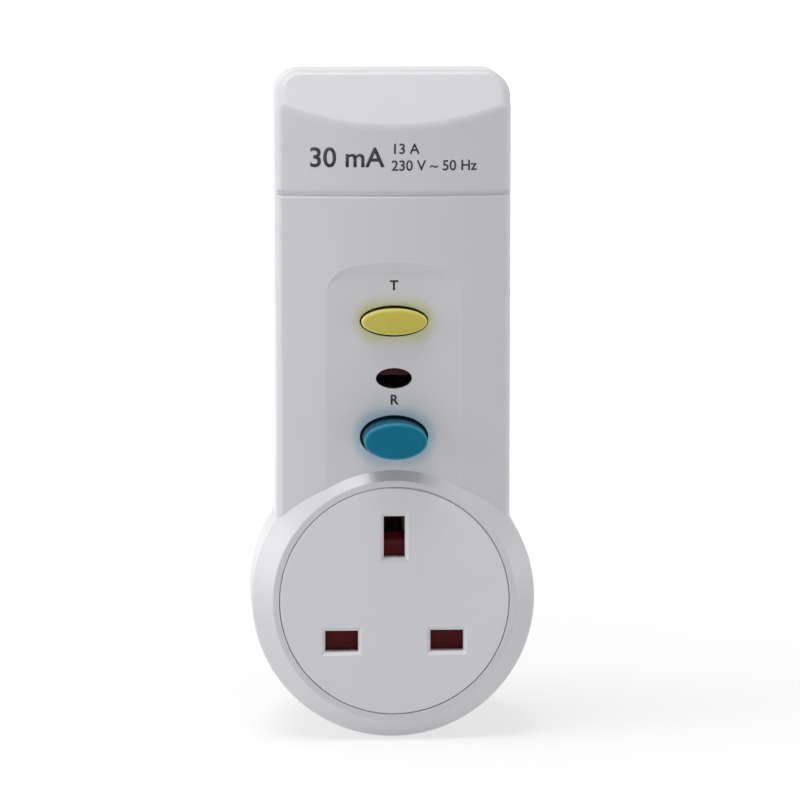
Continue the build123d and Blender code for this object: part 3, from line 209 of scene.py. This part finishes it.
def moulded_button_plastic(name, light, dark, painted_side_shade, rim, front):
    """Tinted polycarbonate, moulded smooth: an even colour and a soft gloss across its face.

    Its sides are painted darker, as painted shade for the shade that falls down them, and the
    thin rounded rim of the face, which is at front, is painted paler, as a painted highlight.
    """
    material, tree, shader, place = new_material(name, {
        "IOR": 1.58, "Roughness": 0.36, "Specular IOR Level": 0.08, "Subsurface Weight": 0.12,
        "Subsurface Scale": 0.7 * mm, "Subsurface Radius": (1.0, 0.9, 0.7)})
    grain(tree, shader, place, size=0.4 * mm, depth=0.004 * mm)
    colour = mottle(tree, shader, place, light, dark, size=5 * mm)
    depth = add(tree, "ShaderNodeSeparateXYZ", {"Vector": place}).outputs["Y"]
    # paint a highlight on the rim at front, then painted shade down the sides
    for start, full, painted_colour in ((highlight_start, highlight_full, rim), (side_shade_start, side_shade_full, painted_side_shade)):
        share = add(tree, "ShaderNodeMapRange",
                    {"Value": depth, "From Min": front + start, "From Max": front + full},
                    interpolation_type="SMOOTHSTEP")
        blend = add(tree, "ShaderNodeMix", {0: share.outputs["Result"], 6: colour,
                                            7: linear(painted_colour)}, data_type="RGBA")
        colour = blend.outputs[2]
    tree.links.new(colour, shader.inputs["Base Color"])
    return material


def moulded_red_nylon(name, light, dark):
    """Red nylon, moulded plain: semi-matt with slight sink and flow marks."""
    material, tree, shader, place = new_material(name, {
        "IOR": 1.53, "Roughness": 0.46, "Specular IOR Level": 0.12})
    grain(tree, shader, place, size=0.6 * mm, depth=0.01 * mm)
    mottle(tree, shader, place, light, dark, size=3 * mm)
    return material


def drawn_brass():
    """Brass drawn to section along Y and tumbled: long fine draw lines, rubbed bright."""
    material, tree, shader, place = new_material("drawn_brass", {
        "Metallic": 1.0, "Roughness": 0.28})
    along = add(tree, "ShaderNodeMapping",
                {"Vector": place, "Scale": (1.0, 0.04, 1.0)}).outputs["Vector"]
    grain(tree, shader, along, size=0.25 * mm, depth=0.004 * mm)
    uneven_gloss(tree, shader, along, low=0.22, high=0.40, size=0.5 * mm)
    mottle(tree, shader, place, "d9bf7c", "c6a560", size=4 * mm)
    return material


def rolled_copper_strip():
    """Half-hard copper strip, blanked and bent: reddish, with a soft rolled haze."""
    material, tree, shader, place = new_material("rolled_copper_strip", {"Metallic": 1.0})
    grain(tree, shader, place, size=0.3 * mm, depth=0.004 * mm)
    uneven_gloss(tree, shader, place, low=0.34, high=0.52, size=2 * mm)
    mottle(tree, shader, place, "b9795a", "96583c", size=3 * mm)
    return material


def tarnished_copper():
    """Copper strip that has darkened in the air of the socket: brown and almost dull."""
    material, tree, shader, place = new_material("tarnished_copper", {"Metallic": 0.9})
    grain(tree, shader, place, size=0.3 * mm, depth=0.004 * mm)
    uneven_gloss(tree, shader, place, low=0.50, high=0.68, size=2 * mm)
    mottle(tree, shader, place, "5c3a2a", "452a1e", size=3 * mm)
    return material


def zinc_plated_steel():
    """Bright zinc over pressed steel: cool grey, slightly cloudy from the bath."""
    material, tree, shader, place = new_material("zinc_plated_steel", {"Metallic": 1.0})
    grain(tree, shader, place, size=0.3 * mm, depth=0.003 * mm)
    uneven_gloss(tree, shader, place, low=0.22, high=0.38, size=1.5 * mm)
    mottle(tree, shader, place, "c9ccd0", "aeb3b8", size=2 * mm)
    return material


def phosphated_steel():
    """Steel with a black phosphate coat and oil: dark, dry, with a fine crystalline grain."""
    material, tree, shader, place = new_material("phosphated_steel", {"Metallic": 0.6})
    grain(tree, shader, place, size=0.2 * mm, depth=0.006 * mm)
    uneven_gloss(tree, shader, place, low=0.55, high=0.70, size=1.5 * mm)
    mottle(tree, shader, place, "2b2b2d", "222224", size=1 * mm)
    return material


def black_sleeve_nylon():
    """Black nylon moulded over the pin roots: low sheen with a faint dry bloom."""
    material, tree, shader, place = new_material("black_sleeve_nylon", {"IOR": 1.53})
    grain(tree, shader, place, size=0.3 * mm, depth=0.006 * mm)
    uneven_gloss(tree, shader, place, low=0.38, high=0.52, size=2 * mm)
    mottle(tree, shader, place, "1d1d1f", "151516", size=3 * mm)
    return material


def black_pad_print():
    """Black ink, pad printed: nearly matt, a touch thin at places."""
    material, tree, shader, place = new_material("black_pad_print", {"Roughness": 0.5})
    grain(tree, shader, place, size=0.2 * mm, depth=0.002 * mm)
    mottle(tree, shader, place, "101114", "18191c", size=0.6 * mm)
    return material


# Materials of the inside


def glass_filled_nylon(name, light, dark):
    """Glass-filled nylon: matt, with the short fibres just showing at the surface."""
    material, tree, shader, place = new_material(name, {"IOR": 1.53, "Roughness": 0.5})
    along = add(tree, "ShaderNodeMapping",
                {"Vector": place, "Scale": (1.0, 1.0, 0.15)}).outputs["Vector"]
    grain(tree, shader, along, size=0.3 * mm, depth=0.008 * mm)
    mottle(tree, shader, place, light, dark, size=1.5 * mm)
    return material


def green_circuit_board():
    """Glass epoxy under green solder mask: glossy, with the tracks a paler green."""
    material, tree, shader, place = new_material("green_circuit_board", {
        "IOR": 1.5, "Roughness": 0.28, "Coat Weight": 0.4, "Coat Roughness": 0.12})
    flat = add(tree, "ShaderNodeMapping", {"Vector": place,
                                           "Rotation": (math.radians(90), 0, 0)})
    tracks = add(tree, "ShaderNodeTexBrick", {
        "Vector": flat.outputs["Vector"], "Scale": 1.0, "Mortar Size": 0.35 * mm,
        "Brick Width": 7 * mm, "Row Height": 3 * mm, "Mortar Smooth": 0.1,
        "Color1": linear("1f5a36"), "Color2": linear("1c5232"), "Mortar": linear("3f8a58")})
    tree.links.new(tracks.outputs["Color"], shader.inputs["Base Color"])
    bump = add(tree, "ShaderNodeBump", {"Height": tracks.outputs["Fac"],
                                        "Distance": 0.03 * mm})
    tree.links.new(bump.outputs["Normal"], shader.inputs["Normal"])
    return material


def enamelled_copper_wire():
    """Copper wire in red-brown enamel: a metal glint under a clear varnish."""
    material, tree, shader, place = new_material("enamelled_copper_wire", {
        "Metallic": 1.0, "Roughness": 0.3, "Coat Weight": 0.6, "Coat Roughness": 0.15})
    grain(tree, shader, place, size=0.3 * mm, depth=0.003 * mm)
    mottle(tree, shader, place, "b5623a", "93471f", size=1.5 * mm)
    return material


def sintered_ferrite():
    """Pressed and fired ferrite: dark grey, dry and slightly granular."""
    material, tree, shader, place = new_material("sintered_ferrite", {"Roughness": 0.6})
    grain(tree, shader, place, size=0.25 * mm, depth=0.02 * mm)
    mottle(tree, shader, place, "3c3c40", "2c2c30", size=1 * mm)
    return material


def moulded_epoxy(name, light, dark, roughness):
    """Epoxy moulded or dipped over a component: smooth, under a thin clear skin."""
    material, tree, shader, place = new_material(name, {
        "IOR": 1.55, "Roughness": roughness, "Coat Weight": 0.2, "Coat Roughness": 0.2})
    grain(tree, shader, place, size=0.5 * mm, depth=0.01 * mm)
    mottle(tree, shader, place, light, dark, size=1.2 * mm)
    return material


def wire_pvc(name, light, dark):
    """Soft PVC drawn over a stranded wire: smooth and waxy."""
    material, tree, shader, place = new_material(name, {
        "IOR": 1.54, "Roughness": 0.36, "Subsurface Weight": 0.05,
        "Subsurface Scale": 0.4 * mm})
    grain(tree, shader, place, size=0.6 * mm, depth=0.01 * mm)
    mottle(tree, shader, place, light, dark, size=4 * mm)
    return material


# Each colour name of the CAD nodes, and its finish
finishes = {
    "white_shell": white_abs("satin_white_abs", "d5d5d7", "d1d1d4"),
    # painted_side_shade is painted shade down a button's sides, and rim is a painted highlight
    # on the edge of its face
    "blue_button": moulded_button_plastic("blue_polycarbonate", "0b7492", "096b89",
                                          painted_side_shade="094a5f", rim="30849c",
                                          front=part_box("reset_button")[0].y),
    "yellow_button": moulded_button_plastic("yellow_polycarbonate", "d1c55d", "c8bc56",
                                            painted_side_shade="63601f", rim="d9d080",
                                            front=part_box("test_button")[0].y),
    "red_plastic": moulded_red_nylon("shutter_red_nylon", "57090e", "4b070b"),
    # the flag's red is painted darker than the shutter's, as painted shade for the shadow it
    # lies in behind its window
    "flag_red": moulded_red_nylon("flag_red_nylon_painted_shade", "441413", "38100f"),
    "pin_brass": drawn_brass(),
    "contact_copper": rolled_copper_strip(),
    "sleeve_black": black_sleeve_nylon(),
    "grey_moulding": glass_filled_nylon("grey_glass_filled_nylon", "5a5d61", "4c4f53"),
    "white_moulding": glass_filled_nylon("cream_glass_filled_nylon", "cfcabd", "c2bcae"),
    "steel": zinc_plated_steel(),
    "board_green": green_circuit_board(),
    "copper_wire": enamelled_copper_wire(),
    "ferrite_core": sintered_ferrite(),
    "component_black": moulded_epoxy("black_epoxy", "1c1c1e", "141416", roughness=0.4),
    "component_blue": moulded_epoxy("blue_epoxy", "2f62a8", "27549a", roughness=0.3),
    "component_tan": moulded_epoxy("tan_lacquer", "c2a274", "b2905f", roughness=0.35),
    "lead_brown": wire_pvc("brown_wire_pvc", "6b3f22", "5f371d"),
    "lead_blue": wire_pvc("blue_wire_pvc", "2c5fb4", "2754a3"),
}
for part in nodes.values():
    part.data.materials[0] = finishes[part.data.materials[0].name]
# the front cover carries the painted reflections of the buttons round their holes
nodes["front_cover"].data.materials[0] = white_abs("spark_eroded_white_abs_painted_reflections", "d3d3d6", "cfcfd3",
                                                   painted_reflections=painted_button_reflections)
# the socket face is a paler copy of the cover's white, painted lighter to stand for the extra
# light that reaches it from below
nodes["socket_face"].data.materials[0] = white_abs("white_abs_painted_lighter", "dddde0", "d9d9dd")
blackened = phosphated_steel()
for name in ("latch_plate", "solenoid_plunger"):
    nodes[name].data.materials[0] = blackened
tarnished = tarnished_copper()
for name in ("live_socket_contact", "neutral_socket_contact", "earth_socket_contact"):
    nodes[name].data.materials[0] = tarnished


# Print on the front

ink = black_pad_print()
ink_thickness = 0.03 * mm
in_front = Vector((0, 2 * cad_box[0][1], 0))  # well clear of the front that the print is laid on
font_per_cap = 1.37  # the capitals are 0.73 of the font's size
curve_steps = 6  # along each of a letter's curves
doubled_share = 0.005  # points of a letter closer than this share of its height are one
plain, bold = 0.02, 0.035  # shares of the capitals' height that their strokes grow by

letter_cap, leak_cap, rating_cap = 2.1 * mm, 4.2 * mm, 2.2 * mm
test_letter_height, reset_letter_height = 66.7 * mm, 42.6 * mm
leak_middle, leak_height = -9.9 * mm, 93.6 * mm
rating_left = -0.6 * mm
current_height, voltage_height = 95.3 * mm, 91.8 * mm


def printed(name, words, across, height, cap_height, boldness, align="CENTER"):
    """A line of print on the front cover, laid on its curve and given the ink's thickness."""
    clear_selection()
    bpy.ops.object.text_add(location=(0, 0, 0))
    line = bpy.context.object
    line.name = name
    line.data.body = words
    line.data.align_x = align
    line.data.size = cap_height * font_per_cap
    line.data.offset = cap_height * boldness
    line.data.resolution_u = curve_steps
    bpy.ops.object.convert(target="MESH")
    line = bpy.context.object
    bpy.ops.object.mode_set(mode="EDIT")
    bpy.ops.mesh.select_all(action="SELECT")
    bpy.ops.mesh.remove_doubles(threshold=cap_height * doubled_share)
    bpy.ops.object.mode_set(mode="OBJECT")
    line.rotation_euler = (math.radians(90), 0, 0)
    line.location = Vector((across, 0, height - cap_height / 2)) + in_front
    bpy.ops.object.transform_apply(location=True, rotation=True, scale=True)
    wrap = line.modifiers.new("lay on the cover", "SHRINKWRAP")
    wrap.target = nodes["front_cover"]
    wrap.wrap_method = "PROJECT"
    wrap.use_project_y = True
    wrap.offset = ink_thickness / 2
    skin = line.modifiers.new("ink", "SOLIDIFY")
    skin.thickness = ink_thickness
    skin.offset = 0
    for modifier in ("lay on the cover", "ink"):
        bpy.ops.object.modifier_apply(modifier=modifier)
    line.data.materials.clear()
    line.data.materials.append(ink)
    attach(line, "casing")


printed("test_letter", "T", 0, test_letter_height, letter_cap, bold)
printed("reset_letter", "R", 0, reset_letter_height, letter_cap, bold)
printed("rating_leak_current", "30 mA", leak_middle, leak_height, leak_cap, plain)
printed("rating_current", "13 A", rating_left, current_height, rating_cap, plain, align="LEFT")
printed("rating_voltage", "230 V ~ 50 Hz", rating_left, voltage_height, rating_cap, plain,
        align="LEFT")


# Springs and windings, as the wire that they are wound from

wire_sides = 8
turn_steps = 20  # pieces that one turn of a coil is made of
wire_smooth_angle = math.radians(50)


def apply_place(piece):
    """Put an object's place and turn into its mesh, and leave it alone in the selection."""
    take(piece)
    bpy.ops.object.transform_apply(location=True, rotation=True, scale=True)


def joined(pieces, name):
    """Several meshes as one."""
    clear_selection()
    for piece in pieces:
        piece.select_set(True)
    bpy.context.view_layer.objects.active = pieces[0]
    if len(pieces) > 1:
        bpy.ops.object.join()
    bpy.context.object.name = name
    return bpy.context.object


def wound_wire(foot, along, length, radius, wire, turns):
    """Round wire wound as a helix of this outer radius, from foot in the direction along."""
    clear_selection()
    bpy.ops.mesh.primitive_circle_add(vertices=wire_sides, radius=wire / 2,
                                      rotation=(math.pi / 2, 0, 0),
                                      location=(radius - wire / 2, 0, wire / 2))
    coil = bpy.context.object
    apply_place(coil)
    screw = coil.modifiers.new("turns", "SCREW")
    screw.axis = "Z"
    screw.angle = math.tau * turns
    screw.screw_offset = length - wire
    screw.steps = round(turns * turn_steps)
    screw.render_steps = screw.steps
    bpy.ops.object.modifier_apply(modifier="turns")
    bpy.ops.object.mode_set(mode="EDIT")
    bpy.ops.mesh.select_all(action="SELECT")
    bpy.ops.mesh.fill_holes(sides=0)
    bpy.ops.mesh.select_all(action="SELECT")
    bpy.ops.mesh.normals_make_consistent(inside=False)
    bpy.ops.object.mode_set(mode="OBJECT")
    coil.rotation_euler = Vector((0, 0, 1)).rotation_difference(Vector(along)).to_euler()
    coil.location = foot
    apply_place(coil)
    bpy.ops.object.shade_smooth_by_angle(angle=wire_smooth_angle)
    return coil


def stands_for(piece, node, body):
    """The piece takes a CAD node's place, finish and body."""
    piece.data.materials.clear()
    piece.data.materials.append(nodes[node].data.materials[0])
    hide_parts(node)
    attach(piece, body)


def end_middle(node, axis, end):
    """The middle of a node's box, moved to its low or high end along an axis."""
    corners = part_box(node)
    middle = (corners[0] + corners[1]) / 2
    middle[axis] = corners[end][axis]
    return middle


def spring(node, body, axis, fixed_end, wire, turns, places=((0, 0, 0),)):
    """A compression spring in a CAD node's place, which moves with its body.

    It lies along the axis, and fixed_end says which of its ends stays where it is.
    """
    low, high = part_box(node)
    fixed = end_middle(node, axis, fixed_end)
    along = end_middle(node, axis, 1 - fixed_end) - fixed
    radius = min((high[a] - low[a]) / 2 for a in (x_axis, y_axis, z_axis) if a != axis)
    coils = [wound_wire(fixed + Vector(place), along, along.length, radius, wire, turns)
             for place in places]
    coil = joined(coils, f"wound_{node}")
    stands_for(coil, node, body)
    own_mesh(coil)


reset_wire, spring_wire = 0.6 * mm, 0.35 * mm
spring("reset_spring", "casing", y_axis, high_end, reset_wire, turns=4.5)
spring("shutter_spring", "casing", z_axis, low_end, spring_wire, turns=8)
spring("plunger_spring", "casing", z_axis, low_end, spring_wire, turns=3)
spring("latch_spring", "contact_carriage", z_axis, low_end, spring_wire, turns=5)

# The carriage has a pair of springs, as far apart as the node's two coils
pair_low, pair_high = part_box("carriage_springs")
pair_reach = (pair_high.x - pair_low.x - (pair_high.z - pair_low.z)) / 2
spring("carriage_springs", "casing", y_axis, low_end, spring_wire, turns=7,
       places=((pair_reach, 0, 0), (-pair_reach, 0, 0)))

# The solenoid's wire lies in two layers on its bobbin
coil_wire = 0.74 * mm
layer_count = 2
layer_pitch = coil_wire * 1.02  # the layers don't quite touch
coil_low, coil_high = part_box("solenoid_coil")
coil_length = coil_high.z - coil_low.z
coil_radius = (coil_high.x - coil_low.x) / 2
coil_turns = round(coil_length / coil_wire) - 1
layers = [wound_wire(end_middle("solenoid_coil", z_axis, low_end), (0, 0, 1), coil_length,
                     coil_radius - layer_pitch * layer, coil_wire, coil_turns)
          for layer in range(layer_count)]
stands_for(joined(layers, "wound_solenoid_coil"), "solenoid_coil", "casing")

# The transformer's winding is single loops round the ring core, close together inside it
loop_count = 24
loop_steps = 28
core_low, core_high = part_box("transformer_core")
winding_low, winding_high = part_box("transformer_winding")
winding_middle = (winding_low + winding_high) / 2
core_inner = min(math.hypot(v.co.x - winding_middle.x, v.co.z - winding_middle.z)
                 for v in nodes["transformer_core"].data.vertices)
core_outer = (core_high.x - core_low.x) / 2
wire_room = (winding_high.x - winding_low.x) / 2 - core_outer
loop_wire = wire_room * 0.75  # leaves a little air between the wire and the core
loop_half_width = (core_outer - core_inner) / 2 + wire_room / 2
loop_half_depth = (winding_high.y - winding_low.y - wire_room) / 2
loops = []
for turn in range(loop_count):
    # a ring of 1 mm radius, stretched to the loop
    clear_selection()
    bpy.ops.mesh.primitive_torus_add(major_segments=loop_steps, minor_segments=wire_sides,
                                     major_radius=1 * mm,
                                     minor_radius=loop_wire / 2 * mm / loop_half_width)
    loop = bpy.context.object
    bpy.ops.object.shade_smooth()
    loop.scale = (loop_half_width / mm, loop_half_depth / mm, loop_half_width / mm)
    loop.location = ((core_inner + core_outer) / 2, 0, 0)
    apply_place(loop)
    loop.rotation_euler = (0, math.tau * turn / loop_count, 0)
    loop.location = winding_middle
    apply_place(loop)
    loops.append(loop)
stands_for(joined(loops, "wound_transformer_winding"), "transformer_winding", "casing")


# Pressed and turned parts, with the edges that their tools leave

edge_angle = math.radians(35)  # sharper than this is an edge of the part, not a curve
edge_steps = 2
leaf_edge, screw_edge = 0.06 * mm, 0.05 * mm
same_point = 0.001 * mm  # points of a CAD mesh closer than this are one
flat_angle = math.radians(0.5)  # faces that meet at less than this are one
# shares of a screw head's radius: the outermost part that is its rim, and its cross
rim_share = 0.1
cross_reach, cross_half_width, cross_depth = 0.62, 0.16, 0.4


def clean_copy(node, name):
    """A CAD node's shape as a mesh of its own, with whole faces, and alone in the selection."""
    piece = bpy.data.objects.new(name, nodes[node].data.copy())
    bpy.context.collection.objects.link(piece)
    take(piece)
    bpy.ops.object.mode_set(mode="EDIT")
    bpy.ops.mesh.select_all(action="SELECT")
    bpy.ops.mesh.remove_doubles(threshold=same_point)
    bpy.ops.mesh.dissolve_limited(angle_limit=flat_angle)
    bpy.ops.object.mode_set(mode="OBJECT")
    return piece


def break_edges(piece, edge):
    """Round the sharp edges over by this much."""
    take(piece)
    broken = piece.modifiers.new("broken edges", "BEVEL")
    broken.width = edge
    broken.segments = edge_steps
    broken.limit_method = "ANGLE"
    broken.angle_limit = edge_angle
    bpy.ops.object.modifier_apply(modifier="broken edges")
    bpy.ops.object.shade_smooth_by_angle(angle=edge_angle)


def cross_headed_screws(node):
    """Screws with a pressed cross in each head, which is the screw's widest end along Y."""
    clean_copy(node, f"cross_headed_{node}")
    bpy.ops.object.mode_set(mode="EDIT")
    bpy.ops.mesh.select_all(action="SELECT")
    bpy.ops.mesh.separate(type="LOOSE")
    bpy.ops.object.mode_set(mode="OBJECT")
    single = list(bpy.context.selected_objects)
    for screw in single:
        points = [v.co for v in screw.data.vertices]
        high = [max(p[a] for p in points) for a in (x_axis, y_axis, z_axis)]
        low = [min(p[a] for p in points) for a in (x_axis, y_axis, z_axis)]
        middle = [(far + near) / 2 for far, near in zip(high, low)]
        radius = (high[x_axis] - low[x_axis]) / 2
        # only the head reaches this far out, so its rim tells which end gets the cross
        rim_y = [p.y for p in points if p.x > high[x_axis] - radius * rim_share]
        top = high[y_axis] if min(rim_y) > middle[y_axis] else low[y_axis]
        for bar, half_x, half_z in (("cross x", cross_reach, cross_half_width),
                                    ("cross z", cross_half_width, cross_reach)):
            # a cube two wide, so that its scale is its half sizes
            clear_selection()
            bpy.ops.mesh.primitive_cube_add(size=2,
                                            location=(middle[x_axis], top, middle[z_axis]))
            cutter = bpy.context.object
            cutter.scale = (radius * half_x, radius * cross_depth, radius * half_z)
            apply_place(cutter)
            take(screw)
            cross = screw.modifiers.new(bar, "BOOLEAN")
            cross.operation = "DIFFERENCE"
            cross.solver = "EXACT"
            cross.object = cutter
            bpy.ops.object.modifier_apply(modifier=bar)
            bpy.data.objects.remove(cutter)
    whole = joined(single, f"cross_headed_{node}")
    break_edges(whole, screw_edge)
    stands_for(whole, node, "casing")


leaf = clean_copy("test_leaf", "blanked_test_leaf")
break_edges(leaf, leaf_edge)
stands_for(leaf, "test_leaf", "casing")
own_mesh(leaf)

for screws in ("cover_screws", "board_screws", "carrier_screws", "retainer_screws"):
    cross_headed_screws(screws)


# Stage: a light table under the adapter, inside a light tent that is open towards the user

floor_size = 14  # in metres, so that its edge lies beyond every view
floor_height = cad_box[0][2] - 0.05 * mm
table_colour, table_roughness = "a0a0a2", 0.9
table_light = 0.45  # what the table gives off everywhere
beside, far_off = 80 * mm, 500 * mm  # where more is added to what the eye sees of the table
beside_light, far_light = 0.15, 0.7
tent_front, tent_back = 0.17, 0.55  # light of the tent towards the user and behind the adapter


def white_paper_floor():
    """White paper lit from below: matt, and whiter to the eye away from the adapter."""
    paper = bpy.data.materials.new("white_paper_floor")
    paper.use_nodes = True
    tree = paper.node_tree
    shader = tree.nodes["Principled BSDF"]
    shader.inputs["Base Color"].default_value = linear(table_colour)
    shader.inputs["Roughness"].default_value = table_roughness
    eye = add(tree, "ShaderNodeLightPath", {})
    seen = add(tree, "ShaderNodeMath", {0: eye.outputs["Is Camera Ray"],
                                        1: eye.outputs["Is Glossy Ray"]}, operation="MAXIMUM")
    place = add(tree, "ShaderNodeTexCoord", {}).outputs["Object"]
    away = add(tree, "ShaderNodeVectorMath", {0: place}, operation="LENGTH")
    whiter = add(tree, "ShaderNodeMapRange",
                 {"Value": away.outputs["Value"], "From Min": beside, "From Max": far_off,
                  "To Min": beside_light, "To Max": far_light}, interpolation_type="SMOOTHSTEP")
    lift = add(tree, "ShaderNodeMath", {0: seen.outputs["Value"], 1: whiter.outputs["Result"],
                                        2: table_light}, operation="MULTIPLY_ADD")
    white = add(tree, "ShaderNodeEmission", {"Strength": lift.outputs["Value"]})
    both = add(tree, "ShaderNodeAddShader", {0: shader.outputs["BSDF"],
                                             1: white.outputs["Emission"]})
    tree.links.new(both.outputs["Shader"], tree.nodes["Material Output"].inputs["Surface"])
    return paper


def light_tent():
    """A soft light from all round, which the eye, gloss and clear parts see as plain white."""
    world = bpy.data.worlds.new("studio")
    bpy.context.scene.world = world
    world.use_nodes = True
    tree = world.node_tree
    eye = add(tree, "ShaderNodeLightPath", {})
    straight = add(tree, "ShaderNodeMath", {0: eye.outputs["Is Camera Ray"],
                                            1: eye.outputs["Is Glossy Ray"]},
                   operation="MAXIMUM")
    seen = add(tree, "ShaderNodeMath", {0: straight.outputs["Value"],
                                        1: eye.outputs["Is Transmission Ray"]},
               operation="MAXIMUM")
    where = add(tree, "ShaderNodeTexCoord", {}).outputs["Generated"]
    depth = add(tree, "ShaderNodeSeparateXYZ", {"Vector": where})
    tent = add(tree, "ShaderNodeMapRange",
               {"Value": depth.outputs["Y"], "From Min": -1.0, "From Max": 1.0,
                "To Min": tent_front, "To Max": tent_back})
    level = add(tree, "ShaderNodeMix", {0: seen.outputs["Value"], 2: tent.outputs["Result"],
                                        3: 1.0}, data_type="FLOAT")
    sky = tree.nodes["Background"]
    sky.inputs["Color"].default_value = (1, 1, 1, 1)
    tree.links.new(level.outputs[0], sky.inputs["Strength"])


def softbox(name, place, size, power):
    """A large square lamp that faces the middle of the adapter; in metres and watts."""
    place = Vector(place)
    turn = (aim - place).to_track_quat("-Z", "Y").to_euler()
    bpy.ops.object.light_add(type="AREA", location=place, rotation=turn)
    lamp = bpy.context.object
    lamp.name = name
    lamp.data.size = size
    lamp.data.energy = power


clear_selection()
bpy.ops.mesh.primitive_plane_add(size=floor_size, location=(0, 0, floor_height))
floor = bpy.context.object
floor.name = "floor"
floor.data.materials.append(white_paper_floor())
light_tent()
softbox("key", place=(-0.94, -0.20, 0.24), size=0.6, power=3.9)
softbox("overhead", place=(-0.15, -0.15, 1.00), size=0.6, power=6.4)
softbox("fill", place=(0.88, -0.14, -0.02), size=0.6, power=2.1)
softbox("front", place=(-0.10, -1.20, 0.15), size=0.8, power=0.9)

camera_side = Vector((math.sin(camera_turn) * math.cos(camera_rise),
                      -math.cos(camera_turn) * math.cos(camera_rise),
                      math.sin(camera_rise)))
bpy.ops.object.camera_add(location=aim + camera_side * camera_distance,
                          rotation=(-camera_side).to_track_quat("-Z", "Y").to_euler())
camera = bpy.context.object
camera.data.lens = camera_lens
camera.data.sensor_width = camera_sensor
camera.data.clip_start = camera_clip_start
bpy.context.scene.camera = camera
bpy.context.scene.view_settings.view_transform = "Standard"
